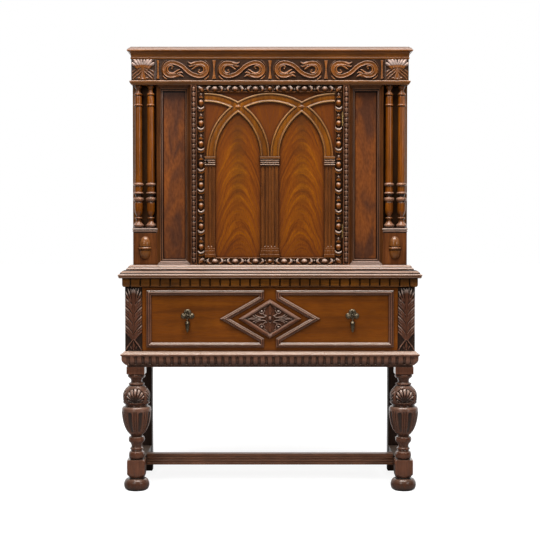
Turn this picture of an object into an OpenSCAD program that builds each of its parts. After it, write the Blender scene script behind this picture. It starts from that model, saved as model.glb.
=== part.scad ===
// Bar cabinet on a stand, with turned cup-and-cover legs, one drawer and a carved door.
// Millimetres. +Z is up, the front faces -Y, and the origin is under the middle of the
// whole cabinet, on the floor.

/* [Stand] */
// Width of the stand over its carved posts
case_w = 1120; // [1090:5:1200]
// Depth of the stand from the post faces to the back
case_d = 456; // [430:2:500]
// Height of the opening that holds the drawer
drawer_zone_h = 248; // [225:1:280]
// Width of a carved post
post_w = 66; // [60:1:72]
// Depth of a carved post
post_d = 65; // [58:1:72]
// Side of a plain rear leg
rear_leg_s = 50; // [44:1:54]
// Thickness of the stand's side panels
side_panel_t = 10; // [8:1:14]
// Thickness of the board that the stand's case stands on
bottom_t = 18; // [16:1:22]
// Thickness of the stand's back panel
stand_back_t = 8; // [5:1:12]
// Thickness of the moulded stand top
stand_top_t = 31; // [28:1:36]
// Overhang of the stand top past the posts
top_overhang = 24; // [21:1:28]

/* [Legs] */
// Inset of a front leg's axis from the post's outer faces
leg_inset = 40; // [38:1:44]
// Radius of the bun foot
foot_r = 49; // [44:1:52]
// Height of the bun foot with its neck
foot_h = 50; // [44:1:58]
// Half the side of the leg's square blocks
block_half = 34; // [31:1:36]
// Height of the lower square block
block_h = 70; // [62:1:80]
// Height of the turned rings between the block and the cup
collar_h = 96; // [88:1:110]
// Radius of the turned rings
collar_r = 30; // [27:1:32]
// Height of the fluted cup
cup_h = 115; // [100:1:130]
// Largest radius of the cup and of its cover
cup_r = 57; // [50:1:60]
// Height of the cover
cover_h = 76; // [68:1:88]
// Height of the rings above the cover
neck_h = 47; // [42:1:54]
// Height of the top block
top_block_h = 28; // [24:1:36]
// Number of flutes round the cup
cup_flutes = 18; // [12:1:20]
// Depth of a flute in the cup
cup_flute_d = 3; // [2:0.5:4]

/* [Stretchers] */
// Height of the stretchers
stretcher_h = 46; // [38:1:50]
// Thickness of the side stretchers
side_stretcher_t = 42; // [34:1:46]
// Thickness of the centre stretcher
centre_stretcher_t = 36; // [30:1:42]
// Height of the stretchers' underside above the floor
stretcher_z = 62; // [61:1:66]

/* [Stand mouldings] */
// Height of the nulled base moulding
null_h = 62; // [58:1:68]
// Distance between two flutes of the nulled moulding
null_pitch = 28; // [26:0.5:32]
// Radius of one flute of the nulled moulding
null_flute_r = 6.5; // [5:0.5:8]
// Height of the dentil band
dentil_h = 34; // [30:1:38]
// Distance between two grooves of the dentil band
dentil_pitch = 38.4; // [34:0.2:44]
// Width of one groove of the dentil band
dentil_gap = 4.5; // [3:0.5:7]
// Depth of one groove of the dentil band
dentil_depth = 4; // [3:0.5:6]
// How far the glue faces of the stand mouldings lie behind the post faces
moulding_bed = 13; // [12:1:14]

/* [Drawer] */
// Thickness of the drawer front
front_t = 20; // [18:1:24]
// Thickness of the drawer sides and back
drawer_t = 12; // [10:1:14]
// Thickness of the drawer bottom
drawer_bottom_t = 6; // [5:0.5:8]
// Depth of the grooves that hold the drawer bottom
groove_d = 5; // [4:0.5:7]
// Length of the drawer behind its front
drawer_len = 392; // [340:2:400]
// Gap round the drawer front
drawer_gap = 1.3; // [1:0.1:2]
// How far the drawer front lies behind the post faces
front_inset = 4; // [3:0.5:6]
// Width of the panel moulding on the drawer front
panel_moulding_w = 20; // [16:0.5:21]
// Height of the panel moulding off the drawer front
panel_moulding_t = 10; // [8:0.5:12]
// Margin between the drawer front's edge and its mouldings
panel_margin = 13; // [10:1:16]
// Half the gap between the two drawer mouldings
panel_gap_half = 22.7; // [18:0.1:26]
// Reach of the notch that makes room for the lozenge
notch_reach = 154; // [148:1:170]
// Half width of the lozenge
lozenge_half_w = 121; // [100:1:128]
// Half height of the lozenge
lozenge_half_h = 75; // [62:1:80]
// Width of the lozenge's bevelled border
lozenge_border = 16.5; // [14:0.5:20]
// Height of the lozenge's border off the drawer front
lozenge_t = 15; // [12:0.5:18]
// Distance of a drop pull from the middle of the drawer
pull_x = 318; // [290:2:340]
// Height of the pull's pivot above the middle of the drawer front
pull_rise = 16; // [8:1:24]
// Radius of the pull's backplate
plate_r = 23; // [19:0.5:26]
// Radius of the hanging acorn
acorn_r = 10; // [8:0.5:11]
// Length of the drop from its pivot to its tip
drop_len = 67; // [58:1:75]
// Radius of the pin that the drop hangs on
pull_pin_r = 1.5; // [1.2:0.1:2]
// Radial play of a pin in its eye
pin_play = 0.06; // [0.03:0.01:0.09]

/* [Upper case] */
// Width of the door opening
opening_w = 564; // [540:2:600]
// Height between the base board and the head board
upper_h = 696; // [660:2:760]
// Width of a stile beside the door
stile_w = 25; // [24:0.5:32]
// Width of a recessed bay
bay_w = 132; // [110:1:140]
// Width of a column niche
niche_w = 97; // [95:1:110]
// Set-back of the upper case's front from the post faces
upper_setback = 33; // [28:1:40]
// Thickness of the upper base board
base_t = 20; // [18:1:24]
// Set-back of the base board's edge in the bays
bay_break = 24; // [18:1:30]
// Thickness of the upper sides
side_t = 18; // [16:1:22]
// Thickness of the upper back panel
back_t = 6; // [5:0.5:9]
// Thickness of the head board
head_t = 18; // [16:1:22]
// Height of the frieze
frieze_h = 80; // [70:1:90]
// Thickness of the frieze boards
frieze_t = 18; // [14:1:20]
// Height of the cornice
cornice_h = 48; // [42:1:54]
// Thickness of the top board
top_board_t = 18; // [14:1:22]
// Height of the shelf above the base board
shelf_h = 330; // [260:5:400]
// Thickness of the shelf
shelf_t = 16; // [14:1:20]
// Side of the cleats under the shelf
cleat_s = 16; // [12:1:20]

/* [Columns] */
// Height of a plinth under its cap
plinth_h = 129; // [115:1:140]
// Thickness of a plinth's cap
plinth_cap_t = 14; // [10:1:16]
// Overhang of a plinth's cap
plinth_cap_out = 3; // [2:0.5:4]
// Inset of a plinth from the outside of the case
plinth_inset = 5; // [4:0.5:6]
// Depth of a column niche
niche_d = 42; // [40:1:48]
// Thickness of the board behind the columns
niche_board_t = 18; // [14:1:22]
// Distance between the two columns of a pair
column_pitch = 48.5; // [43:0.5:49]
// Largest radius of a column
column_r = 18.5; // [16:0.5:19]
// Radius of a column's shaft at its foot
shaft_r = 15.6; // [13:0.1:17]
// Radius of a column's shaft at its head
shaft_top_r = 14; // [12:0.1:15]
// Height of a column's turned foot
column_foot_h = 171; // [150:1:190]
// Height of a column's turned head
column_head_h = 82; // [70:1:95]
// Radius of the split acorn boss
boss_r = 22.6; // [19:0.2:24]
// Height of the split acorn boss
boss_h = 92; // [80:1:104]
// Depth that the boss's axis lies behind the plinth's face
boss_sink = 7; // [5:0.5:10]

/* [Bays] */
// Width of the splayed frame round a bay panel
bay_frame_w = 17; // [14:0.5:20]
// Depth of a bay panel behind the upper case's front
bay_depth = 30; // [24:1:36]
// Thickness of a bay panel
bay_panel_t = 10; // [6:0.5:12]
// Depth that a bay panel reaches under its frame
bay_lap = 4; // [3:0.5:5]

// Distance between two beads of the strips beside the door
bead_pitch = 20; // [17:0.5:24]

/* [Door] */
// Gap round the door at the lock side and at the bottom
door_gap = 1.5; // [1.2:0.1:2]
// Gap above the door
door_top_gap = 2; // [1.5:0.1:3]
// Gap at the hinge side, which holds the hinge leaves
hinge_gap = 3; // [2.8:0.1:3.6]
// Thickness of the veneered door board
door_board_t = 16; // [15:0.5:20]
// Width of the egg-and-dart frame
egg_frame_w = 27; // [24:0.5:30]
// Thickness of the egg-and-dart frame
egg_frame_t = 16; // [14:0.5:18]
// Radius of one egg
egg_r = 10.5; // [9:0.5:11.5]
// Distance between two eggs
egg_pitch = 80; // [70:1:90]
// Width of one arch band
arch_band_w = 36; // [30:0.5:40]
// Width of the ridge along each edge of a band
arch_ridge_w = 8; // [6:0.5:10]
// Height of a band off the door board
arch_band_t = 4; // [3:0.5:5]
// Height of a ridge off the door board
arch_ridge_t = 8.5; // [7:0.5:10]
// Space between the middle arch and the egg-and-dart frame
arch_margin = 6.5; // [5:0.5:9]
// Height of the middle arch's spring line below the top of the carved field
arch_drop = 247; // [246:0.5:250]
// Width of a whole pilaster shaft
pilaster_w = 65; // [56:0.5:66]
// Width of a side pilaster's shaft
side_pilaster_w = 39; // [36:0.5:40]
// Thickness of a pilaster
pilaster_t = 9; // [7:0.5:10]
// Height of a pilaster's capital
capital_h = 34; // [28:0.5:40]
// Height of a pilaster's base
pilaster_base_h = 36; // [30:0.5:42]
// Radius of a pilaster's flute
flute_r = 3.4; // [2.6:0.1:4]
// Distance between two flutes
flute_pitch = 12.4; // [11.4:0.1:13]

/* [Hardware] */
// Height of one hinge
hinge_h = 54; // [44:1:64]
// Width of one hinge leaf
leaf_w = 22; // [18:1:26]
// Thickness of one hinge leaf
leaf_t = 1.2; // [1:0.1:1.3]
// Outer radius of a hinge knuckle
knuckle_r = 2.4; // [2.2:0.1:2.6]
// Radius of a hinge pin
hinge_pin_r = 1.2; // [1:0.1:1.4]
// Distance of the hinges' middles from the ends of the door
hinge_inset = 130; // [90:5:180]
// Distance of the keyhole below the arches' spring line
keyhole_drop = 23; // [16:1:28]
// Distance of the keyhole from the door's lock edge
keyhole_inset = 36; // [30:1:40]
// Width of the lock case
lock_w = 48; // [42:1:54]
// Height of the lock case
lock_h = 60; // [50:1:70]
// Thickness of the lock case
lock_t = 7.8; // [7:0.1:9]
// Height of the lock bolt
bolt_h = 15; // [12:0.5:18]
// Thickness of the lock bolt
bolt_t = 4; // [3:0.5:5]
// Travel of the lock bolt
bolt_travel = 8; // [6:0.5:9]

/* [Hidden] */
$fn = 72;

// Clearances: a sliding fit, a loose fit and the hairline at a mitre
slide_gap = 0.3;
mortise_play = 2;
loose_gap = 1;
mitre_gap = 0.2;
eps = 0.01;

// Depths
back_y = (case_d + top_overhang) / 2;
face_y = back_y - case_d;
upper_y = face_y + upper_setback;
plinth_y = upper_y + 3;
niche_y = plinth_y + niche_d;

// Heights
leg_h = foot_h + block_h + collar_h + cup_h + cover_h + neck_h + top_block_h;
drawer_z = leg_h + null_h;
rail_z = drawer_z + drawer_zone_h;
stand_top_z = rail_z + dentil_h;
base_z = stand_top_z + stand_top_t;
upper_z = base_z + base_t;
head_z = upper_z + upper_h;
frieze_z = head_z + head_t;
cornice_z = frieze_z + frieze_h;
top_z = cornice_z + cornice_h;

// Half widths
case_hw = case_w / 2;
bed_hw = case_hw - moulding_bed;
post_in = case_hw - post_w;
panel_out = bed_hw + side_panel_t;
rear_in = bed_hw - rear_leg_s;
leg_x = case_hw - leg_inset;
leg_y = face_y + leg_inset - 2;
rear_y = back_y - rear_leg_s;
open_hw = opening_w / 2;
bay_in = open_hw + stile_w;
bay_out = bay_in + bay_w;
upper_hw = bay_out + niche_w;
plinth_out = upper_hw - plinth_inset;
column_h = upper_h - plinth_h - plinth_cap_t;
bay_frame_y = upper_y + 4;
bay_back_y = upper_y + bay_depth + 18;
strip_gap = 1.5;
strip_w = stile_w - strip_gap;
strip_mid = open_hw + strip_gap + strip_w / 2;

// Door
door_l = -open_hw + door_gap;
door_r = open_hw - hinge_gap;
door_x = (door_l + door_r) / 2;
door_hw = (door_r - door_l) / 2;
door_z = upper_z + door_gap;
door_top = head_z - door_top_gap;
door_face = upper_y + egg_frame_t;
door_back = door_face + door_board_t;
field_hw = door_hw - egg_frame_w;
field_z = door_z + egg_frame_w;
field_top = door_top - egg_frame_w;
spring_z = field_top - arch_drop;
arch_r = field_hw - arch_margin - arch_band_w / 2;
side_arch_x = arch_r + arch_band_w / 2 + 1;
hinge_x = open_hw - hinge_gap / 2;
hinge_y = upper_y - knuckle_r - 0.1;
knuckle_h = hinge_h / 3;
leaf_gap = hinge_gap / 2 - leaf_t;
lock_y = door_back - lock_t;
lock_z = spring_z - keyhole_drop;
keyhole_x = door_l + keyhole_inset;

// Drawer
front_hw = post_in - drawer_gap;
front_y = face_y + front_inset;
front_back = front_y + front_t;
front_z = drawer_z + loose_gap;
front_h = drawer_zone_h - 2 * loose_gap;
front_mid = front_z + front_h / 2;
box_hw = front_hw - 6.5;
box_z = drawer_z + slide_gap;
box_top = front_z + front_h - 16;
drawer_end = front_back + drawer_len;
bottom_z = box_z + 9;
pull_z = front_mid + pull_rise;
pull_y = front_y - acorn_r - 4.5;
panel_out_x = front_hw - 15;
panel_z0 = front_z + panel_margin;
panel_z1 = front_z + front_h - panel_margin + 2;

// Colours
walnut = [0.33, 0.17, 0.09];
dark_walnut = [0.22, 0.11, 0.06];
veneer = [0.48, 0.25, 0.1];
inside_wood = [0.58, 0.4, 0.24];
brass = [0.55, 0.46, 0.3];
steel = [0.5, 0.5, 0.52];

// Points of a bulge (h > 0, to the right of the way from p to q) or of a hollow (h < 0)
function swell(p, q, h, n = 6) = [for (i = [0:n])
  let (a = 180 * i / n, d = (q - p) / norm(q - p))
  p + (1 - cos(a)) / 2 * (q - p) + h * sin(a) * [d[1], -d[0]]];
// Points of a cubic curve
function curve(a, b, c, d, n = 8) = [for (i = [0:n]) let (t = i / n, s = 1 - t)
  s * s * s * a + 3 * s * s * t * b + 3 * s * t * t * c + t * t * t * d];
// A loop of points, drawn in by w to its left, with true mitres
function inset(p, w) = [for (i = [0:len(p) - 1])
  let (a = p[(i + len(p) - 1) % len(p)], b = p[i], c = p[(i + 1) % len(p)],
    u = (b - a) / norm(b - a), v = (c - b) / norm(c - b),
    m = [-u[1], u[0]], n = [-v[1], v[0]])
  b + w * (m + n) / (1 + m * n)];
function flipped(p) = [for (i = [len(p) - 1:-1:0]) p[i]];
function lifted(p, z) = [for (q = p) [q[0], q[1] + z]];
function box_loop(x0, z0, x1, z1) = [[x0, z0], [x1, z0], [x1, z1], [x0, z1]];

// A block between two corners
module block(a, b) { translate(a) cube(b - a); }
// The same on both sides of the cabinet
module both() { children(); mirror([1, 0, 0]) children(); }
// An outline in X and Z, from y0 forward by t
module plate(y0, t) { translate([0, y0, 0]) rotate([90, 0, 0]) linear_extrude(t) children(); }
// A turned piece from its outline of [radius, height] points
module turned(p) {
  rotate_extrude() polygon(concat([[0, p[0][1]]], p, [[0, p[len(p) - 1][1]]]));
}
// A round-ended cutter: its round end is at the top
module bullet(r, h) {
  rotate_extrude($fn = 36) polygon(concat([[0, 0], [r, 0]],
    [for (a = [0:30:90]) [r * cos(a), h - r + r * sin(a)]]));
}
// The same with two round ends
module capsule(r, h) {
  rotate_extrude($fn = 36) polygon(concat([for (a = [-90:22.5:0]) [r * cos(a), r + r * sin(a)]],
    [for (a = [0:22.5:90]) [r * cos(a), h - r + r * sin(a)]]));
}
// A board with one moulded edge at the front and at both sides. The outline holds
// [overhang, height] points from the underside up.
module moulded_board(x0, x1, y0, y1, outline) {
  reach = max([for (p = outline) p[0]]);
  low = outline[0][1];
  high = outline[len(outline) - 1][1];
  intersection() {
    plate(y1, y1 - y0 + reach + 1) polygon(concat([for (p = outline) [x1 + p[0], p[1]]],
      flipped([for (p = outline) [x0 - p[0], p[1]]])));
    translate([x0 - reach - 1, 0, 0]) rotate([90, 0, 90]) linear_extrude(x1 - x0 + 2 * reach + 2)
      polygon(concat([for (p = outline) [y0 - p[0], p[1]]], [[y1, high], [y1, low]]));
  }
}
// The front length of a moulding, mitred at both ends. Its back is a plane that lies
// bed behind the face.
module front_length(hw, y0, outline, bed) {
  low = outline[0][1];
  high = outline[len(outline) - 1][1];
  far = 60;
  gap = mitre_gap / sqrt(2);
  intersection() {
    translate([-hw - far, y0, 0]) rotate([90, 0, 90]) linear_extrude(2 * hw + 2 * far)
      polygon(concat([for (p = outline) [-p[0], p[1]]], [[bed, high], [bed, low]]));
    translate([0, y0, low - 1]) linear_extrude(high - low + 2) polygon([[-hw - far + gap, -far],
      [hw + far - gap, -far], [hw - far - gap, far], [-hw + far + gap, far]]);
  }
}
// The length at the right-hand end, mitred to the front one
module side_length(hw, y0, y1, outline, bed) {
  low = outline[0][1];
  high = outline[len(outline) - 1][1];
  far = 60;
  gap = mitre_gap / sqrt(2);
  intersection() {
    plate(y1, y1 - y0 + far) polygon(concat([for (p = outline) [hw + p[0], p[1]]],
      [[hw - bed, high], [hw - bed, low]]));
    translate([hw, y0, low - 1]) linear_extrude(high - low + 2) polygon([[far + gap, -far],
      [far + gap, y1 - y0 + 1], [-far, y1 - y0 + 1], [-far, far + gap]]);
  }
}
// Straight lengths of a moulding round a loop of [x, z] points, mitred at the corners.
// The children are the section: inwards from the loop, and forward from y0.
module framed(loop, w, t, y0, gap = 0) {
  inner = inset(loop, w);
  for (i = [0:len(loop) - 1]) {
    j = (i + 1) % len(loop);
    run = loop[j] - loop[i];
    way = run / norm(run) * gap / 2;
    intersection() {
      plate(y0 + 1, t + 2) polygon([loop[i] + way, loop[j] - way, inner[j] - way, inner[i] + way]);
      translate([loop[i][0], y0, loop[i][1]]) rotate([0, -atan2(run[1], run[0]), 0])
        rotate([90, 0, 0]) rotate([90, 0, 90]) translate([0, 0, -2 * w])
        linear_extrude(norm(run) + 4 * w) children();
    }
  }
}

// Legs

foot_outline = concat([[foot_r - 11, 0]],
  swell([foot_r - 11, 1], [foot_r - 15, foot_h - 5], 13, 10), [[foot_r - 22, foot_h - 4]],
  [[foot_r - 22, foot_h + 1]]);
collar_outline = lifted(concat([[collar_r - 4, 0], [collar_r - 4, 3]],
  swell([collar_r - 4, 3], [collar_r - 3, 30], 3, 6), [[collar_r - 7, 31]],
  swell([collar_r - 7, 34], [collar_r - 9, 38], -1, 3),
  swell([collar_r - 9, 38], [collar_r - 9, 46], 3.5, 5),
  swell([collar_r - 9, 48], [collar_r - 3, 0.7 * collar_h], -2.5, 6),
  swell([collar_r - 2, 0.72 * collar_h], [collar_r - 2, collar_h - 8], 3.5, 6),
  [[collar_r - 7, collar_h - 6], [collar_r - 7, collar_h]]), foot_h + block_h);
function cup_line(d) = concat(
  curve([collar_r - 4 - d, 0.04 * cup_h], [0.84 * cup_r - d, 0.2 * cup_h],
    [cup_r - d, 0.52 * cup_h], [cup_r - d, 0.82 * cup_h], 12));
cup_outline = lifted(concat([[collar_r - 7, 0]], cup_line(0),
  swell([cup_r - 1, 0.85 * cup_h], [cup_r - 8, 0.95 * cup_h], 1.5, 4),
  [[cup_r - 13, 0.97 * cup_h], [cup_r - 13, cup_h]]), foot_h + block_h + collar_h);
cover_outline = lifted(concat([[cup_r - 13, 0], [cup_r - 9, 0.05 * cover_h]],
  curve([cup_r - 6, 0.09 * cover_h], [cup_r + 4, 0.3 * cover_h], [cup_r + 2, 0.7 * cover_h],
    [0.6 * cup_r, cover_h - 2], 12), [[0.48 * cup_r, cover_h - 1]]),
  foot_h + block_h + collar_h + cup_h);
neck_outline = lifted(concat([[collar_r - 5, -1]],
  swell([collar_r - 3, 3], [collar_r - 3, 11], 4, 5),
  swell([collar_r - 6, 12], [collar_r - 2, neck_h - 14], -4, 6),
  swell([collar_r - 1, neck_h - 14], [collar_r - 1, neck_h - 3], 5, 6),
  [[collar_r - 4, neck_h - 2], [collar_r - 4, neck_h + 1]]),
  leg_h - top_block_h - neck_h);

module front_leg() {
  block_z = foot_h + block_h;
  cup_z = block_z + collar_h;
  turned(foot_outline);
  // the square block, with its lower corners turned off
  intersection() {
    block([-block_half, -block_half, foot_h], [block_half, block_half, block_z]);
    turned([[block_half - 3, foot_h], [block_half * 1.45, foot_h + 13],
      [block_half * 1.45, block_z - 3], [block_half * 1.32, block_z]]);
  }
  // the collar runs a little into the cup
  turned(concat(collar_outline, [[collar_r - 7, cup_z + 1]]));
  difference() {
    turned(cup_outline);
    for (i = [0:cup_flutes - 1]) rotate(i * 360 / cup_flutes)
      rotate_extrude(angle = 0.36 * 360 / cup_flutes)
        polygon(lifted(concat([for (p = cup_line(cup_flute_d)) if (p[1] > 0.12 * cup_h) p],
          [[cup_r + 3, 0.82 * cup_h], [cup_r + 3, 0.12 * cup_h]]), cup_z));
  }
  turned(cover_outline);
  turned(neck_outline);
  block([-block_half - 1, -block_half - 1, leg_h - top_block_h],
    [block_half + 1, block_half + 1, leg_h]);
}

module front_leg_left() color(walnut) translate([-leg_x, leg_y, 0]) front_leg();
module front_leg_right() color(walnut) translate([leg_x, leg_y, 0]) front_leg();
module rear_leg() color(dark_walnut)
  block([rear_in, rear_y, 0], [bed_hw, back_y, stand_top_z]);
module rear_leg_left() mirror([1, 0, 0]) rear_leg();
module rear_leg_right() rear_leg();

// Stretchers

module side_stretchers() color(dark_walnut) both()
  block([leg_x - side_stretcher_t / 2, leg_y + block_half, stretcher_z],
    [leg_x + side_stretcher_t / 2, rear_y, stretcher_z + stretcher_h]);
module centre_stretcher() {
  mid = (leg_y + rear_y + rear_leg_s / 2) / 2;
  half = leg_x - side_stretcher_t / 2;
  t = centre_stretcher_t / 2;
  h = stretcher_h;
  edge = concat([[-t + 3, 0], [-t, 2]], [[-t, 0.2 * h]],
    swell([-t + 3, 0.24 * h], [-t + 3, 0.44 * h], -3, 5),
    swell([-t + 3, 0.5 * h], [-t + 3, 0.7 * h], -3, 5),
    [[-t, 0.76 * h], [-t, 0.94 * h], [-t + 3, h]]);
  color(walnut) translate([-half, mid, stretcher_z]) rotate([90, 0, 90])
    linear_extrude(2 * half) polygon(concat(edge, [[t, h], [t, 0]]));
}

// Stand case

module carved_post() color(walnut) {
  fillet = 5;
  relief = 3;
  block([post_in, face_y + relief, drawer_z], [case_hw, face_y + post_d, rail_z]);
  // a raised border, and the leaf's stem up the middle
  difference() {
    block([post_in, face_y, drawer_z], [case_hw, face_y + relief, rail_z]);
    block([post_in + fillet, face_y - 1, drawer_z + fillet],
      [case_hw - fillet, face_y + relief, rail_z - fillet]);
  }
  translate([post_in + post_w / 2, face_y + relief, drawer_z + fillet])
    intersection() {
      capsule(4, drawer_zone_h - 2 * fillet);
      translate([-10, -relief, 0]) cube([20, relief + 1, drawer_zone_h]);
    }
}
module carved_post_left() mirror([1, 0, 0]) carved_post();
module carved_post_right() carved_post();
module stand_sides() color(walnut) both()
  block([bed_hw, face_y + post_d, drawer_z], [panel_out, back_y, stand_top_z]);
module stand_back() color(dark_walnut)
  block([-rear_in, back_y - 4 - stand_back_t, leg_h + bottom_t], [rear_in, back_y - 4, stand_top_z]);
module stand_bottom() color(dark_walnut) difference() {
  block([-bed_hw, face_y + moulding_bed, leg_h], [bed_hw, back_y, leg_h + bottom_t]);
  both() block([rear_in, rear_y, leg_h - 1], [bed_hw + 1, back_y + 1, leg_h + bottom_t + 1]);
}
module drawer_rail() color(walnut) {
  block([-bed_hw, face_y + moulding_bed, leg_h + bottom_t], [bed_hw, face_y + post_d, drawer_z]);
  // the stops that the drawer front comes to rest against
  both() block([0.6 * front_hw, front_back + slide_gap, drawer_z - 1],
    [0.6 * front_hw + 40, front_back + 14, bottom_z - 2]);
}
module top_rails() color(dark_walnut) {
  block([-panel_out, face_y + 3, rail_z], [panel_out, face_y + post_d - eps, stand_top_z]);
  both() block([rear_in, face_y + post_d + mitre_gap, rail_z], [bed_hw, rear_y, stand_top_z]);
}
module drawer_runners() color(inside_wood) both() {
  block([box_hw - 30, face_y + post_d, leg_h + bottom_t], [bed_hw, rear_y, drawer_z]);
  // the guide that keeps the drawer straight
  block([box_hw + 0.5, face_y + post_d, drawer_z - 1], [box_hw + 26, rear_y, drawer_z + 26]);
}
module drawer_kickers() color(inside_wood) both()
  block([box_hw - 22, face_y + post_d, box_top + loose_gap], [rear_in, rear_y, stand_top_z]);

// Stand mouldings

null_outline = lifted(concat([[-7, 0], [-7, 0.13 * null_h], [-3, 0.13 * null_h]],
  curve([-3, 0.13 * null_h], [3, 0.34 * null_h], [12, 0.5 * null_h], [12, 0.7 * null_h], 5),
  [[14, 0.72 * null_h]], swell([15, 0.74 * null_h], [15, 0.83 * null_h], 2, 4),
  [[11, 0.86 * null_h]],
  curve([11, 0.88 * null_h], [8, 0.92 * null_h], [5, 0.9 * null_h], [2, null_h], 4)), leg_h);
// One flute of the nulled moulding, leaning out with the moulding's face
module null_flute() {
  lean = atan2(15, 0.57 * null_h);
  translate([0, 3 - 4, 0.12 * null_h]) rotate([lean, 0, 0]) translate([0, 0, -12])
    bullet(null_flute_r, 0.6 * null_h + 12);
}
module nulled_moulding() {
  across = floor((case_hw - 4) / null_pitch - 0.5);
  along = floor((case_d - 8) / null_pitch - 0.5);
  color(walnut) difference() {
    front_length(case_hw, face_y, null_outline, moulding_bed);
    for (i = [-across - 1:across]) translate([(i + 0.5) * null_pitch, face_y, leg_h]) null_flute();
  }
  color(walnut) both() difference() {
    side_length(case_hw, face_y, back_y, null_outline, moulding_bed);
    for (i = [0:along]) translate([case_hw, face_y + (i + 0.5) * null_pitch, leg_h])
      rotate(90) null_flute();
  }
}
dentil_outline = lifted(concat([[1, 0]], swell([2, 0.5], [9, 7], 1.5, 4),
  [[9, dentil_h]]), rail_z);
module dentil_band() {
  across = floor(case_hw / dentil_pitch);
  along = floor(case_d / dentil_pitch - 0.5);
  color(walnut) difference() {
    front_length(case_hw, face_y, dentil_outline, 3);
    for (i = [-across:across]) translate([i * dentil_pitch - dentil_gap / 2, face_y - 20, rail_z + 5])
      cube([dentil_gap, 20 - 9 + dentil_depth, dentil_h - 7]);
  }
  color(walnut) both() difference() {
    side_length(case_hw, face_y, back_y, dentil_outline, 3);
    for (i = [0:along])
      translate([case_hw + 9 - dentil_depth, face_y + (i + 0.5) * dentil_pitch, rail_z + 5])
        cube([20, dentil_gap, dentil_h - 7]);
  }
}
stand_top_outline = lifted(concat([[top_overhang - 5, 0], [top_overhang - 3, 2]],
  swell([top_overhang - 1.5, 3.5], [top_overhang - 1.5, 13], 1.5, 4),
  [[top_overhang - 5, 15]],
  curve([top_overhang - 6, 16], [top_overhang - 8, 24], [8, 17], [6, stand_top_t - 4], 6),
  [[3, stand_top_t - 4], [2, stand_top_t]]), stand_top_z);
module stand_top() color(walnut)
  moulded_board(-case_hw, case_hw, face_y, back_y, stand_top_outline);

// Upper case

base_outline = lifted(concat([[20, 0]], swell([20, 0.5], [17, 0.35 * base_t], 1, 3),
  [[14, 0.38 * base_t]], swell([14, 0.4 * base_t], [8, 0.7 * base_t], 1.5, 3),
  [[7, 0.73 * base_t]], swell([6.5, 0.75 * base_t], [3, base_t - 0.5], 1, 3),
  [[3, base_t]]), base_z);
module upper_base() color(walnut) {
  moulded_board(-upper_hw, upper_hw, upper_y - 3 + bay_break, back_y, base_outline);
  moulded_board(-bay_in + 4, bay_in - 4, upper_y - 3, niche_y, base_outline);
  both() moulded_board(bay_out + 4, upper_hw, upper_y - 3, niche_y, base_outline);
}
module upper_side() color(walnut)
  block([upper_hw - side_t, niche_y, upper_z], [upper_hw, back_y, head_z]);
module upper_side_left() mirror([1, 0, 0]) upper_side();
module upper_side_right() upper_side();
module upper_back() color(inside_wood)
  block([-upper_hw + side_t, back_y - back_t, upper_z], [upper_hw - side_t, back_y, cornice_z + 20]);
module shelf() color(inside_wood)
  block([-upper_hw + side_t + 0.5, niche_y + niche_board_t + 2, upper_z + shelf_h],
    [upper_hw - side_t - 0.5, back_y - back_t - 0.5, upper_z + shelf_h + shelf_t]);
module shelf_cleats() color(inside_wood) both()
  block([upper_hw - side_t - cleat_s, niche_y + niche_board_t + 2, upper_z + shelf_h - cleat_s],
    [upper_hw - side_t, back_y - back_t - 10, upper_z + shelf_h]);
head_outline = lifted(concat([[0, 0]],
  curve([1, 1], [3, 0.3 * head_t], [6, 0.35 * head_t], [6, 0.55 * head_t], 5),
  swell([6.5, 0.6 * head_t], [5.5, 0.85 * head_t], 1, 4), [[1, 0.9 * head_t], [1, head_t]]), head_z);
module head_board() color(walnut)
  moulded_board(-upper_hw, upper_hw, upper_y - 2, back_y - back_t, head_outline);

// Frieze and cornice

module frieze_boards() color(walnut) {
  block([-upper_hw, upper_y - 2, frieze_z], [upper_hw, upper_y - 2 + frieze_t, cornice_z]);
  both() block([upper_hw - side_t, upper_y - 2 + frieze_t + mitre_gap, frieze_z],
    [upper_hw, back_y, cornice_z]);
}
// The middle line of an S-scroll: two spirals whose centres lie 2 * reach apart, and the
// straight between them. A spiral draws in by step at each turn.
function half_scroll(reach, r, step, turns, n) = let (tilt = asin(r / reach))
  [for (i = [0:n]) let (a = 360 * turns * i / n, q = r - step * turns * i / n)
    [-reach + q * cos(90 - tilt + a), q * sin(90 - tilt + a)]];
function scroll_line(reach, r, step, turns, n) = let (h = half_scroll(reach, r, step, turns, n))
  concat(flipped(h), [for (p = h) -p]);
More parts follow.
